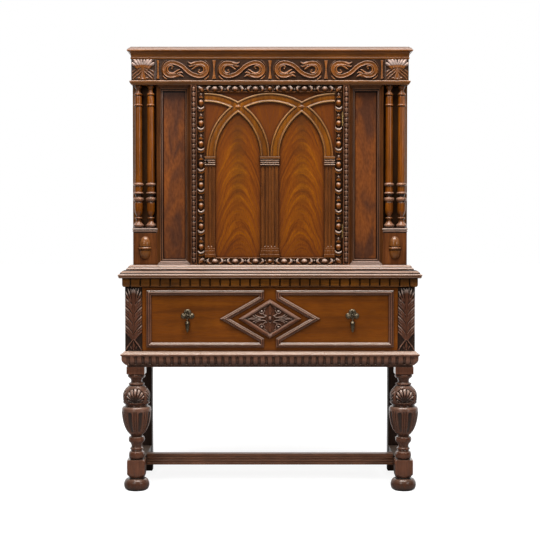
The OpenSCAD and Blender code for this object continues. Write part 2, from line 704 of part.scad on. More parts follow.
// The outline of a band of width w along a line of points
function band(line, w) = let (m = len(line) - 1,
    across = [for (i = [0:m]) let (d = line[min(i + 1, m)] - line[max(i - 1, 0)])
      w / 2 / norm(d) * [-d[1], d[0]]])
  concat([for (i = [0:m]) line[i] + across[i]], [for (i = [m:-1:0]) line[i] - across[i]]);
module s_scroll(reach, r, w, t) {
  line = scroll_line(reach, r, 1.2 * w, 1.6, 24);
  plate(0, 0.6 * t) polygon(band(line, w));
  plate(0, t) polygon(band(line, 0.5 * w));
  for (p = [line[0], line[len(line) - 1]]) plate(0, t + 1) translate(p) circle(r = 0.62 * w, $fn = 32);
}
module frieze_carving() color(walnut) {
  mid = frieze_z + frieze_h / 2;
  front = upper_y - 2;
  pitch = (bay_out - 10) / 2 - 0.6;
  block_w = niche_w - 6;
  relief = 5;
  // the leaf-carved blocks over the columns
  both() block([bay_out + 6, front - relief, frieze_z], [bay_out + 6 + block_w, front, cornice_z]);
  // narrow dividers between the scrolls
  for (x = [-2:2]) translate([x * pitch, 0, mid]) plate(front, relief + 2)
    polygon([[-7, -frieze_h / 2], [7, -frieze_h / 2], [3, -7], [5, 0], [3, 7], [7, frieze_h / 2],
      [-7, frieze_h / 2], [-3, 7], [-5, 0], [-3, -7]]);
  // four S-scrolls, each of two spirals
  for (m = [0:3]) translate([(m - 1.5) * pitch, front, mid]) mirror([m % 2, 0, 0])
    s_scroll(0.26 * pitch, 0.5 * frieze_h - 10, 10, relief);
}
cornice_outline = lifted(concat([[1, 0]], swell([2, 1], [2, 0.14 * cornice_h], 1, 4),
  [[1, 0.18 * cornice_h], [2, 0.36 * cornice_h]],
  curve([2, 0.38 * cornice_h], [3, 0.54 * cornice_h], [8, 0.6 * cornice_h], [13, 0.62 * cornice_h], 6),
  [[15, 0.64 * cornice_h]], swell([15, 0.66 * cornice_h], [12, 0.8 * cornice_h], 1, 4),
  curve([11, 0.82 * cornice_h], [9, 0.92 * cornice_h], [5, 0.9 * cornice_h], [1, cornice_h], 5)),
  cornice_z);
module cornice() color(walnut) {
  front_length(upper_hw, upper_y - 2, cornice_outline, frieze_t);
  both() side_length(upper_hw, upper_y - 2, back_y, cornice_outline, frieze_t);
}
module top_board() color(dark_walnut)
  block([-upper_hw + frieze_t, upper_y - 2 + frieze_t, top_z - top_board_t],
    [upper_hw - frieze_t, back_y, top_z]);

// Columns and their plinths

module niche_boards() color(dark_walnut) both()
  block([bay_out + 2, niche_y, upper_z], [upper_hw - side_t, niche_y + niche_board_t, head_z]);
module plinth() color(walnut) {
  block([bay_out, plinth_y, upper_z], [plinth_out, niche_y, upper_z + plinth_h]);
  block([bay_out, plinth_y - plinth_cap_out, upper_z + plinth_h],
    [plinth_out + plinth_cap_out, niche_y, upper_z + plinth_h + plinth_cap_t]);
  // the lip towards the bay ends in front of the bay's frame
  block([bay_out - plinth_cap_out, plinth_y - plinth_cap_out, upper_z + plinth_h],
    [bay_out + 1, bay_frame_y - slide_gap, upper_z + plinth_h + plinth_cap_t]);
}
module plinth_left() mirror([1, 0, 0]) plinth();
module plinth_right() plinth();
// A split turning: an acorn in its ring, with its back sawn flat
module plinth_bosses() color(veneer) both()
  translate([(bay_out + plinth_out) / 2, plinth_y, upper_z + 0.5 * plinth_h]) difference() {
    translate([0, boss_sink, -0.48 * boss_h]) turned(concat(
      curve([1, 0], [0.73 * boss_r, 0], [boss_r, 0.15 * boss_h], [boss_r, 0.38 * boss_h], 8),
      [[0.82 * boss_r, 0.4 * boss_h]],
      swell([boss_r, 0.42 * boss_h], [boss_r, 0.52 * boss_h], 0.15 * boss_r, 6),
      [[0.86 * boss_r, 0.55 * boss_h]],
      curve([boss_r, 0.57 * boss_h], [boss_r, 0.8 * boss_h], [0.73 * boss_r, 0.98 * boss_h],
        [1, boss_h], 8)));
    // what lies behind the plinth's face
    translate([-2 * boss_r, 0, -boss_h]) cube([4 * boss_r, 4 * boss_r, 2 * boss_h]);
  }
function column_outline(foot, head, h) = let (r = column_r, s = shaft_r, t = shaft_top_r,
    f = foot / 171, g = head / 82)
  concat([[r - 1, 0], [r - 1, 3 * f]],
    curve([r, 4 * f], [r - 1, 14 * f], [r - 9, 16 * f], [r - 9.5, 29 * f], 6),
    swell([s - 4, 36 * f], [s - 4, 42 * f], 2, 4),
    curve([s - 6, 45 * f], [s - 4, 60 * f], [s + 1, 68 * f], [s + 0.5, 84 * f], 8),
    [[s - 1, 102 * f]], swell([s - 0.5, 105 * f], [s - 0.5, 113 * f], 3, 5),
    swell([s - 1, 115 * f], [s - 1, 130 * f], -1.5, 5),
    swell([s - 0.5, 132 * f], [s - 0.5, 139 * f], 3, 4), [[s - 1, 142 * f], [s - 1, 161 * f]],
    swell([s - 0.5, 162 * f], [s - 0.5, 170 * f], 3, 5), [[s, foot]], [[t, h - head]],
    swell([t - 0.5, h - head + 1 * g], [t - 0.5, h - head + 8 * g], 2.5, 4),
    [[t - 0.6, h - head + 10 * g], [t - 0.6, h - head + 40 * g]],
    swell([t - 0.5, h - head + 41 * g], [t - 0.5, h - head + 47 * g], 2.5, 4),
    curve([t - 2, h - head + 49 * g], [t - 2, h - head + 56 * g], [t - 5, h - head + 56 * g],
      [t - 6, h - head + 62 * g], 4),
    curve([t - 6, h - head + 63 * g], [t - 5, h - head + 74 * g], [t - 3, h - head + 76 * g],
      [t - 1.5, h], 5));
module columns() color(veneer) for (s = [-1, 1])
  translate([(bay_out + upper_hw) / 2 + s * column_pitch / 2, plinth_y + niche_d / 2 - 1,
    upper_z + plinth_h + plinth_cap_t]) turned(column_outline(column_foot_h, column_head_h, column_h));
module columns_left() mirror([1, 0, 0]) columns();
module columns_right() columns();

// Bays

module bay_section() {
  d = bay_depth;
  w = bay_frame_w;
  polygon(concat([[0, 0], [0, d + 14]], [[2.5, d + 14], [4, d + 9]],
    curve([4, d + 9], [8, d + 8], [8, d], [0.6 * w, d], 5), [[0.6 * w, d - 4]],
    swell([0.66 * w, 19], [w - 1, 19], -2, 4), [[w, 16], [w - bay_lap, 16], [w - bay_lap, 0]]));
}
module bay_frame() color(walnut)
  framed(box_loop(bay_in, upper_z, bay_out - mitre_gap, head_z), bay_frame_w,
    bay_back_y - bay_frame_y, bay_back_y, mitre_gap) bay_section();
module bay_frame_left() mirror([1, 0, 0]) bay_frame();
module bay_frame_right() bay_frame();
module bay_panels() color(veneer) both() {
  in = bay_frame_w - bay_lap + slide_gap;
  block([bay_in + in, upper_y + bay_depth + 2.2, upper_z + in],
    [bay_out - mitre_gap - in, upper_y + bay_depth + 2.2 + bay_panel_t, head_z - in]);
}

// Stiles, beaded strips and door stops

module stile() color(walnut)
  block([open_hw, upper_y, upper_z], [bay_in, bay_back_y, head_z]);
module stile_left() color(walnut) difference() {
  mirror([1, 0, 0]) stile();
  // the mortise that takes the lock bolt
  block([-open_hw - bolt_travel - 3, lock_y + lock_t / 2 - bolt_t / 2 - mortise_play,
      lock_z - bolt_h / 2 - 6.5],
    [-open_hw + 1, lock_y + lock_t / 2 + bolt_t / 2 + mortise_play, lock_z + bolt_h / 2 + 6.5]);
}
module stile_right() stile();
module beaded_strips() color(walnut) both() {
  beads = floor((upper_h - 6) / bead_pitch);
  start = upper_z + (upper_h - beads * bead_pitch) / 2;
  block([strip_mid - strip_w / 2, upper_y - 3, upper_z], [strip_mid + strip_w / 2, upper_y, head_z]);
  for (s = [-1, 1]) translate([s * (strip_w / 2 - 2.5), 0, 0])
    block([strip_mid - 2.5, upper_y - 6, upper_z], [strip_mid + 2.5, upper_y - 2, head_z]);
  // the string of beads, half round
  translate([strip_mid, upper_y - 3, start]) rotate(180) rotate_extrude(angle = 180, $fn = 24)
    polygon(concat([[0, 0]], [for (i = [0:beads - 1]) each concat([[1.2, i * bead_pitch]],
      swell([1.2, i * bead_pitch + 2.5], [1.2, i * bead_pitch + 17.5], 3.2, 6),
      [[1.2, (i + 1) * bead_pitch]])], [[0, beads * bead_pitch]]));
}
module door_stops() color(inside_wood) both()
  block([open_hw - 10, door_back + slide_gap, upper_z], [open_hw, door_back + slide_gap + 16, head_z]);

// Door

module keyhole(y0, y1) {
  translate([keyhole_x, y1, lock_z + 3]) rotate([90, 0, 0]) cylinder(r = 2.6, h = y1 - y0, $fn = 32);
  block([keyhole_x - 1.4, y0, lock_z - 5], [keyhole_x + 1.4, y1, lock_z + 3]);
}
module door_board() color(veneer) difference() {
  block([door_l, door_face, door_z], [door_r, door_back, door_top]);
  // the recess that the lock is let into, and the keyhole through to it
  block([door_l - 1, lock_y - slide_gap, lock_z - lock_h / 2 - slide_gap],
    [door_l + lock_w + slide_gap, door_back + 1, lock_z + lock_h / 2 + slide_gap]);
  keyhole(door_face - 1, door_back);
}
module egg_section() {
  w = egg_frame_w;
  t = egg_frame_t;
  polygon(concat([[0, 0], [0, t - 3], [1, t], [4, t], [4.5, t - 2]],
    swell([5, t - 4], [w - 7, t - 6], -4, 6), [[w - 6, t - 8], [w - 3, t - 8]],
    [[w, t - 12], [w, 0]]));
}
module egg_and_dart_frame() {
  inset_mid = 0.48 * egg_frame_w;
  egg_y = upper_y + 7;
  side_n = floor((field_top - field_z - 40) / egg_pitch / 2);
  top_n = floor((field_hw - 20) / egg_pitch);
  color(walnut) translate([door_x, 0, 0]) {
    framed(box_loop(-door_hw, door_z, door_hw, door_top), egg_frame_w, egg_frame_t, door_face,
      mitre_gap) egg_section();
    for (s = [-1, 1], i = [-side_n:side_n])
      translate([s * (door_hw - inset_mid), egg_y, (door_z + door_top) / 2 + i * egg_pitch])
        egg();
    for (z = [door_z + inset_mid, door_top - inset_mid], i = [-top_n:top_n])
      translate([i * egg_pitch, egg_y, z]) egg();
  }
}
// The front of one egg, which stands in its hollow
module egg() intersection() {
  sphere(r = egg_r, $fn = 40);
  translate([-egg_r - 1, -egg_r - 1, -egg_r - 1]) cube([2 * egg_r + 2, egg_r + 3, 2 * egg_r + 2]);
}
module ring(r0, r1, t) rotate([90, 0, 0]) difference() {
  cylinder(r = r1, h = t, $fn = 144);
  translate([0, 0, -1]) cylinder(r = r0, h = t + 2, $fn = 144);
}
// A ridge with sloping sides, round the centre of an arch
module ridge(r) rotate([90, 0, 0]) rotate_extrude($fn = 144) {
  w = arch_ridge_w / 2;
  polygon([[r - w, 0], [r - w, arch_band_t + 1], [r - 0.5 * w, arch_ridge_t],
    [r + 0.5 * w, arch_ridge_t], [r + w, arch_band_t + 1], [r + w, 0]]);
}
module door_arches() {
  centres = [-side_arch_x, 0, side_arch_x];
  r0 = arch_r - arch_band_w / 2;
  r1 = arch_r + arch_band_w / 2;
  w = arch_ridge_w;
  color(walnut) translate([door_x, door_face, 0]) intersection() {
    union() {
      for (x = centres) translate([x, 0, spring_z]) ring(r0, r1, arch_band_t);
      // the ridges end where they meet the inside of another band
      difference() {
        for (x = centres, r = [r0 + w / 2, r1 - w / 2]) translate([x, 0, spring_z]) ridge(r);
        for (x = centres) translate([x, -arch_band_t, spring_z])
          ring(r0 + w, r1 - w, arch_ridge_t);
      }
    }
    translate([-field_hw, -20, spring_z]) cube([2 * field_hw, 20, field_top - spring_z]);
  }
  // a small boss at each crossing of two bands
  cross = sqrt(arch_r * arch_r - side_arch_x * side_arch_x / 4);
  color(walnut) translate([door_x, door_face - arch_band_t, spring_z + cross])
    for (s = [-1, 1]) translate([s * side_arch_x / 2, 0.5, 0]) plate(0, 5)
      polygon([[-11, 0], [0, -8], [11, 0], [0, 8]]);
}
// One pilaster between x0 and x1, with its flutes at the places given
module pilaster(x0, x1, cap_l, cap_r, flutes) {
  base_top = field_z + pilaster_base_h;
  cap_z = spring_z - capital_h;
  t = pilaster_t;
  difference() {
    plate(0, t) polygon(box_loop(x0, base_top - 1, x1, cap_z + 1));
    for (x = flutes) translate([x, -t - 0.8, base_top + 6]) capsule(flute_r, cap_z - base_top - 12);
  }
  // the base: a plinth, a hollow and a fillet, and the capital's three steps
  steps = [[field_z, 12, 6, 3.5], [field_z + 12, 14, 3.5, 2], [field_z + 26, 10, 1.5, 1],
    [cap_z, 9, 1, 0.5], [cap_z + 9, 10, 3, 2], [cap_z + 19, 15, 6, 3.5]];
  for (s = steps) plate(0, t + s[3])
    polygon(box_loop(x0 - s[2] * cap_l, s[0], x1 + s[2] * cap_r,
      s[0] + s[1] * (s[0] < cap_z ? pilaster_base_h / 36 : capital_h / 34)));
}
module door_pilasters() color(walnut) difference() {
  translate([door_x, door_face, 0]) {
    h = pilaster_w / 2;
    pilaster(-h, h, 1, 1, [for (i = [-1.5:1.5]) i * flute_pitch]);
    both() pilaster(field_hw - side_pilaster_w, field_hw - mitre_gap, 0.5, 0,
      [for (i = [-0.5, 0.5]) field_hw - side_pilaster_w / 2 - 1 + i * flute_pitch]);
  }
  keyhole(door_face - 30, door_face + 1);
}

// Lock and hinges

module lock_case() color(brass) difference() {
  block([door_l + 0.2, lock_y, lock_z - lock_h / 2], [door_l + lock_w, door_back, lock_z + lock_h / 2]);
  block([door_l - 1, lock_y + lock_t / 2 - bolt_t / 2 - slide_gap, lock_z - bolt_h / 2 - slide_gap],
    [door_l + lock_w - 6, lock_y + lock_t / 2 + bolt_t / 2 + slide_gap, lock_z + bolt_h / 2 + slide_gap]);
  keyhole(lock_y - 1, lock_y + lock_t / 2);
}
module lock_bolt() color(steel)
  block([door_l + 0.4, lock_y + lock_t / 2 - bolt_t / 2, lock_z - bolt_h / 2],
    [keyhole_x - 5, lock_y + lock_t / 2 + bolt_t / 2, lock_z + bolt_h / 2]);
module at_hinges() for (z = [door_z + hinge_inset, door_top - hinge_inset])
  translate([hinge_x, hinge_y, z]) children();
module hinge_leaf(x0, x1, joins) {
  block([x0, upper_y + 0.3 - hinge_y, -hinge_h / 2], [x1, upper_y + leaf_w - hinge_y, hinge_h / 2]);
  for (j = joins) block([x0, 0, j[0]], [x1, upper_y + 1 - hinge_y, j[1]]);
}
module hinge_fixed_leaves() color(brass) at_hinges() {
  play = 0.15;
  knuckles = [[-hinge_h / 2, -knuckle_h / 2 - play], [knuckle_h / 2 + play, hinge_h / 2]];
  hinge_leaf(leaf_gap, hinge_gap / 2, knuckles);
  for (k = knuckles) translate([0, 0, k[0]]) cylinder(r = knuckle_r, h = k[1] - k[0], $fn = 40);
  translate([0, 0, -hinge_h / 2]) cylinder(r = hinge_pin_r, h = hinge_h, $fn = 40);
}
module hinge_door_leaves() color(brass) at_hinges() difference() {
  union() {
    hinge_leaf(-hinge_gap / 2, -leaf_gap, [[-knuckle_h / 2, knuckle_h / 2]]);
    translate([0, 0, -knuckle_h / 2]) cylinder(r = knuckle_r, h = knuckle_h, $fn = 40);
  }
  translate([0, 0, -knuckle_h]) cylinder(r = hinge_pin_r + pin_play, h = 2 * knuckle_h, $fn = 40);
}

// Drawer

panel_loop = [[panel_gap_half, panel_z0], [panel_out_x, panel_z0], [panel_out_x, panel_z1],
  [panel_gap_half, panel_z1], [panel_gap_half, panel_z1 - 36],
  [notch_reach, (panel_z0 + panel_z1) / 2], [panel_gap_half, panel_z0 + 36]];
module drawer_front() color(veneer) difference() {
  block([-front_hw, front_y, front_z], [front_hw, front_back, front_z + front_h]);
  block([-box_hw + drawer_t - groove_d, front_back - groove_d, bottom_z],
    [box_hw - drawer_t + groove_d, front_back + 1, bottom_z + drawer_bottom_t]);
}
module panel_section() {
  w = panel_moulding_w;
  t = panel_moulding_t;
  polygon(concat([[0, 0], [0, 0.45 * t], [0.1 * w, 0.5 * t]],
    swell([0.12 * w, 0.6 * t], [0.62 * w, 0.75 * t], -0.3 * t, 6),
    [[0.68 * w, 0.5 * t]], swell([0.7 * w, 0.5 * t], [0.95 * w, 0.2 * t], -1, 4), [[w, 0]]));
}
module drawer_mouldings() color(walnut) both()
  framed(panel_loop, panel_moulding_w, panel_moulding_t, front_y) panel_section();
module lozenge_section() {
  w = lozenge_border;
  t = lozenge_t;
  polygon([[0, 0], [0, 0.4 * t], [0.1 * w, 0.45 * t], [0.5 * w, t], [0.75 * w, t],
    [0.8 * w, 0.8 * t], [w, 0.6 * t], [w, 0]]);
}
module drawer_lozenge() {
  a = lozenge_half_w;
  b = lozenge_half_h;
  loop = [[0, -b], [a, 0], [0, b], [-a, 0]];
  color(walnut) translate([0, 0, (panel_z0 + panel_z1) / 2]) {
    framed(loop, lozenge_border, lozenge_t, front_y) lozenge_section();
    plate(front_y, 0.5 * lozenge_t) polygon(inset(loop, lozenge_border - 1));
    // the carved field's oval and the eyes of its four scrolls
    translate([0, front_y - 0.5 * lozenge_t, 0]) intersection() {
      union() {
        translate([0, 3, 0]) sphere(r = 10, $fn = 40);
        for (x = [-31, 31], z = [-1, 1]) translate([x, 2, z * 12]) sphere(r = 6, $fn = 32);
      }
      translate([-50, -12, -50]) cube([100, 12.5, 100]);
    }
  }
}
module drawer_sides() color(inside_wood) both() difference() {
  block([box_hw - drawer_t, front_back, box_z], [box_hw, drawer_end, box_top]);
  block([box_hw - drawer_t - 1, front_back - 1, bottom_z],
    [box_hw - drawer_t + groove_d, drawer_end + 1, bottom_z + drawer_bottom_t]);
}
module drawer_back() color(inside_wood)
  block([-box_hw + drawer_t, drawer_end - drawer_t, bottom_z + drawer_bottom_t],
    [box_hw - drawer_t, drawer_end, box_top - 8]);
module drawer_bottom() color(inside_wood)
  block([-box_hw + drawer_t - groove_d + slide_gap, front_back - groove_d + slide_gap, bottom_z + eps],
    [box_hw - drawer_t + groove_d - slide_gap, drawer_end, bottom_z + drawer_bottom_t - eps]);

// Pulls

module pull_plate() translate([pull_x, 0, pull_z]) {
  cheek = 4;
  // a lobed rosette, and the two ears that hold the pin
  plate(front_y, 2.2) {
    circle(r = 0.66 * plate_r, $fn = 48);
    for (i = [0:7]) rotate(i * 45 + 22.5) translate([0.68 * plate_r, 0]) circle(r = 0.32 * plate_r, $fn = 24);
  }
  translate([0, front_y, 0]) rotate([90, 0, 0]) turned([[12, 1], [12, 3], [9, 4.5], [7, 5]]);
  for (s = [-1, 1]) {
    translate([s * cheek - 1, pull_y, 0]) rotate([0, 90, 0]) cylinder(r = 3, h = 2, $fn = 32);
    block([s * cheek - 1, pull_y, -3], [s * cheek + 1, front_y - 4, 3]);
  }
  translate([-cheek, pull_y, 0]) rotate([0, 90, 0]) cylinder(r = pull_pin_r, h = 2 * cheek, $fn = 32);
}
module pull_plates() color(brass) both() pull_plate();
module drop() {
  eye = 2.5;
  body = drop_len - 21;
  color(brass) difference() {
    union() {
      translate([-eye, 0, 0]) rotate([0, 90, 0]) cylinder(r = 3.4, h = 2 * eye, $fn = 32);
      // the neck widens into the acorn's cap
      translate([0, 0, -21]) turned([[7, -1], [5.5, 4], [2.4, 9], [2.2, 21 - 2.6]]);
      translate([0, 0, -drop_len]) turned(concat(
        curve([1, 0], [2.5, 6], [0.5 * acorn_r, 5], [acorn_r - 2.2, 0.3 * body], 5),
        curve([acorn_r - 2, 0.32 * body], [acorn_r - 0.5, 0.5 * body], [acorn_r - 0.5, 0.7 * body],
          [acorn_r - 1.4, body - 9], 5),
        swell([acorn_r - 0.8, body - 8], [acorn_r - 0.8, body - 4], 0.8, 4),
        curve([acorn_r - 1.2, body - 3.5], [acorn_r - 2, body - 1], [6, body], [5, body], 3)));
    }
    translate([-10, 0, 0]) rotate([0, 90, 0]) cylinder(r = pull_pin_r + pin_play, h = 20, $fn = 32);
  }
}
module drop_left() translate([-pull_x, pull_y, pull_z]) drop();
module drop_right() translate([pull_x, pull_y, pull_z]) drop();

front_leg_left();
front_leg_right();
rear_leg_left();
rear_leg_right();
side_stretchers();
centre_stretcher();
carved_post_left();
carved_post_right();
stand_sides();
stand_back();
stand_bottom();
drawer_rail();
top_rails();
drawer_runners();
drawer_kickers();
nulled_moulding();
dentil_band();
stand_top();
upper_base();
upper_side_left();
upper_side_right();
upper_back();
shelf();
shelf_cleats();
head_board();
frieze_boards();
frieze_carving();
top_board();
cornice();
niche_boards();
plinth_left();
plinth_right();
plinth_bosses();
columns_left();
columns_right();
bay_frame_left();
bay_frame_right();
bay_panels();
stile_left();
stile_right();
beaded_strips();
door_stops();
hinge_fixed_leaves();
door_board();
egg_and_dart_frame();
door_arches();
door_pilasters();
lock_case();
lock_bolt();
hinge_door_leaves();
drawer_front();
drawer_mouldings();
drawer_lozenge();
drawer_sides();
drawer_back();
drawer_bottom();
pull_plates();
drop_left();
drop_right();
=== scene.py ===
import math

import bmesh
import bpy
import numpy as np
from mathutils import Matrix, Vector


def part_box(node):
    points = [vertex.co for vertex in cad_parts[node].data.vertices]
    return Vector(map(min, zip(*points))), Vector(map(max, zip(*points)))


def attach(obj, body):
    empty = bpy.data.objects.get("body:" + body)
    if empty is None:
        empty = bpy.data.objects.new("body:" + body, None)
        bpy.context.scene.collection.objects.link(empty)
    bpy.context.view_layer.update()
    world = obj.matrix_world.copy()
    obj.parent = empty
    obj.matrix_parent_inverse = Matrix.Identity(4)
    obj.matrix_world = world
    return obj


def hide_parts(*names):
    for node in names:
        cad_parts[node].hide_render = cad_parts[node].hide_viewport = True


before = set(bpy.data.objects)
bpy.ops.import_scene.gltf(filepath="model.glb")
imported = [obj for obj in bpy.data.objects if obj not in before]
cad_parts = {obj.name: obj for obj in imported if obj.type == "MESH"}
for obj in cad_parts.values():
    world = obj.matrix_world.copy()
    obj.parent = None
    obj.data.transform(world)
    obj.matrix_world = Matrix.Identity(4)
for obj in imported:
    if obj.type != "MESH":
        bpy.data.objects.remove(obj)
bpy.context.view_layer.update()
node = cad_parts


# Front legs. Each is one turning of walnut in the cup-and-cover form: a bun foot, a square
# block for the stretcher, rings, a cup cut with flutes and reeds, and a cover that is carved
# with a palmette on each of its four sides. Turned first, then carved at the bench.

def piece(name, points, faces, crease, recess=None, worn=None):
    """A closed mesh from points in millimetres, with its faces turned outwards. recess says how
    deep in the carving each point lies, from 0 on the face to 1 on the ground, which sets its
    painted shade; the second amount says how much a painted highlight pales it."""
    mesh = bpy.data.meshes.new(name)
    mesh.from_pydata((np.asarray(points, float) / 1000).tolist(), [], faces)
    for label, amount in (("recess", recess), ("worn", worn)):
        if amount is not None:
            layer = mesh.attributes.new(label, "FLOAT", "POINT")
            layer.data.foreach_set("value", np.asarray(amount, np.float32))
    shape = bmesh.new()
    shape.from_mesh(mesh)
    bmesh.ops.remove_doubles(shape, verts=shape.verts, dist=1e-6)
    bmesh.ops.dissolve_degenerate(shape, edges=shape.edges, dist=1e-6)
    bmesh.ops.recalc_face_normals(shape, faces=shape.faces)
    shape.to_mesh(mesh)
    shape.free()
    mesh.shade_smooth()
    mesh.set_sharp_from_angle(angle=math.radians(crease))
    made = bpy.data.objects.new(name, mesh)
    bpy.context.scene.collection.objects.link(made)
    return made


def swell(p, q, h, n):
    """Points from p to q that bulge to the right of the way by h."""
    p, q = np.array(p, float), np.array(q, float)
    d = (q - p) / np.linalg.norm(q - p)
    a = np.linspace(0, math.pi, n + 1)
    return [p + (1 - math.cos(t)) / 2 * (q - p) + h * math.sin(t) * np.array([d[1], -d[0]]) for t in a]


def bow(a, b, c, d, n):
    """Points of a cubic curve."""
    a, b, c, d = (np.array(p, float) for p in (a, b, c, d))
    return [(1 - t) ** 3 * a + 3 * (1 - t) ** 2 * t * b + 3 * (1 - t) * t * t * c + t ** 3 * d
            for t in np.linspace(0, 1, n + 1)]


def marked(points, mark=0):
    """Rows of a turning: the points, each with the same mark."""
    return [(*p, mark) for p in points]


def wrapped(rows, n, closed=False):
    """The faces between rows of n points, where each row is a loop. closed joins the last row
    to the first."""
    return [(k * n + i, k * n + (i + 1) % n, (k + 1) % rows * n + (i + 1) % n, (k + 1) % rows * n + i)
            for k in range(rows if closed else rows - 1) for i in range(n)]


def turning(name, radii, heights, at, recess=None, worn=None):
    """A closed turned mesh: radii[row, step] at heights[row], about the point at."""
    rows, steps = radii.shape
    a = np.arange(steps) * 2 * math.pi / steps
    z = at[2] + np.repeat(heights[:, None], steps, 1)
    points = np.stack([at[0] + radii * np.sin(a), at[1] - radii * np.cos(a), z], 2).reshape(-1, 3).tolist()
    points += [[at[0], at[1], at[2] + heights[0]], [at[0], at[1], at[2] + heights[-1]]]
    faces = wrapped(rows, steps)
    low, high, last = rows * steps, rows * steps + 1, (rows - 1) * steps
    for j in range(steps):
        k = (j + 1) % steps
        faces += [(low, k, j), (high, last + j, last + k)]
    if recess is not None:
        recess, worn = (np.append(amount.ravel(), (0, 0)) for amount in (recess, worn))
    return piece(name, points, faces, 50, recess, worn)


def tread(x, low, high):
    """0 below low, 1 above high, and smooth between."""
    t = np.clip((x - low) / (high - low), 0, 1)
    return t * t * (3 - 2 * t)


def arched(u):
    """The height of a half round: 1 where u is 0, and 0 where u is 1 or more either way."""
    return np.sqrt(np.clip(1 - u ** 2, 0, 1))


def soft(off, wide):
    """1 on a line and fading away from it. off is how far a point lies from the line."""
    return np.exp(-((off / wide) ** 2))


def add(tree, kind, values=None, **settings):
    """A new node. Values are numbers, or the sockets that feed its inputs."""
    made = tree.nodes.new(kind)
    for key, value in settings.items():
        setattr(made, key, value)
    for key, value in (values or {}).items():
        if isinstance(value, bpy.types.NodeSocket):
            tree.links.new(value, made.inputs[key])
        else:
            made.inputs[key].default_value = value
    return made


def sums(tree, operation, *values, clamp=False):
    return add(tree, "ShaderNodeMath", dict(enumerate(values)), operation=operation,
               use_clamp=clamp).outputs[0]


def span(tree, value, low, high, start, end, **settings):
    """A number that goes from start to end while the value goes from low to high."""
    return add(tree, "ShaderNodeMapRange", {0: value, 1: low, 2: high, 3: start, 4: end},
               **settings).outputs[0]


def noise(tree, place, scale, detail, **more):
    return add(tree, "ShaderNodeTexNoise",
               {"Vector": place, "Scale": scale, "Detail": detail, **more}).outputs[0]


def vector(tree, x, y, z):
    return add(tree, "ShaderNodeCombineXYZ", {0: x, 1: y, 2: z}).outputs[0]


def ramp(tree, fac, *stops):
    made = add(tree, "ShaderNodeValToRGB", {"Fac": fac})
    bar = made.color_ramp.elements
    while len(bar) < len(stops):
        bar.new(0.5)
    for element, (place, colour) in zip(bar, stops):
        element.position = place
        element.color = (*colour, 1)
    return made.outputs[0]


def blend_of(tree, fac, first, second, way="MIX"):
    made = add(tree, "ShaderNodeMix", data_type="RGBA", blend_type=way, clamp_factor=True)
    for key, value in ((0, fac), (6, first), (7, second)):
        if isinstance(value, bpy.types.NodeSocket):
            tree.links.new(value, made.inputs[key])
        else:
            made.inputs[key].default_value = value if key == 0 else (*value, 1)
    return made.outputs[2]


def hollows(tree, reach, low, high, amount, samples=5):
    """The given amount in hollows up to reach metres wide, and 0 in the open."""
    hidden = add(tree, "ShaderNodeAmbientOcclusion", {"Distance": reach}, samples=samples).outputs["AO"]
    return span(tree, hidden, low, high, amount, 0)


def blank(name):
    """A new material, its empty node tree, and the place of a point on its object."""
    material = bpy.data.materials.new(name)
    material.use_nodes = True
    tree = material.node_tree
    tree.nodes.clear()
    return material, tree, add(tree, "ShaderNodeTexCoord").outputs["Object"]


def polished(tree, values):
    """Ends a tree in its shader."""
    skin = add(tree, "ShaderNodeBsdfPrincipled", values)
    add(tree, "ShaderNodeOutputMaterial", {0: skin.outputs[0]})


def scaled(colour, by, lift=0):
    return tuple(min(1, by * v + lift) for v in colour)


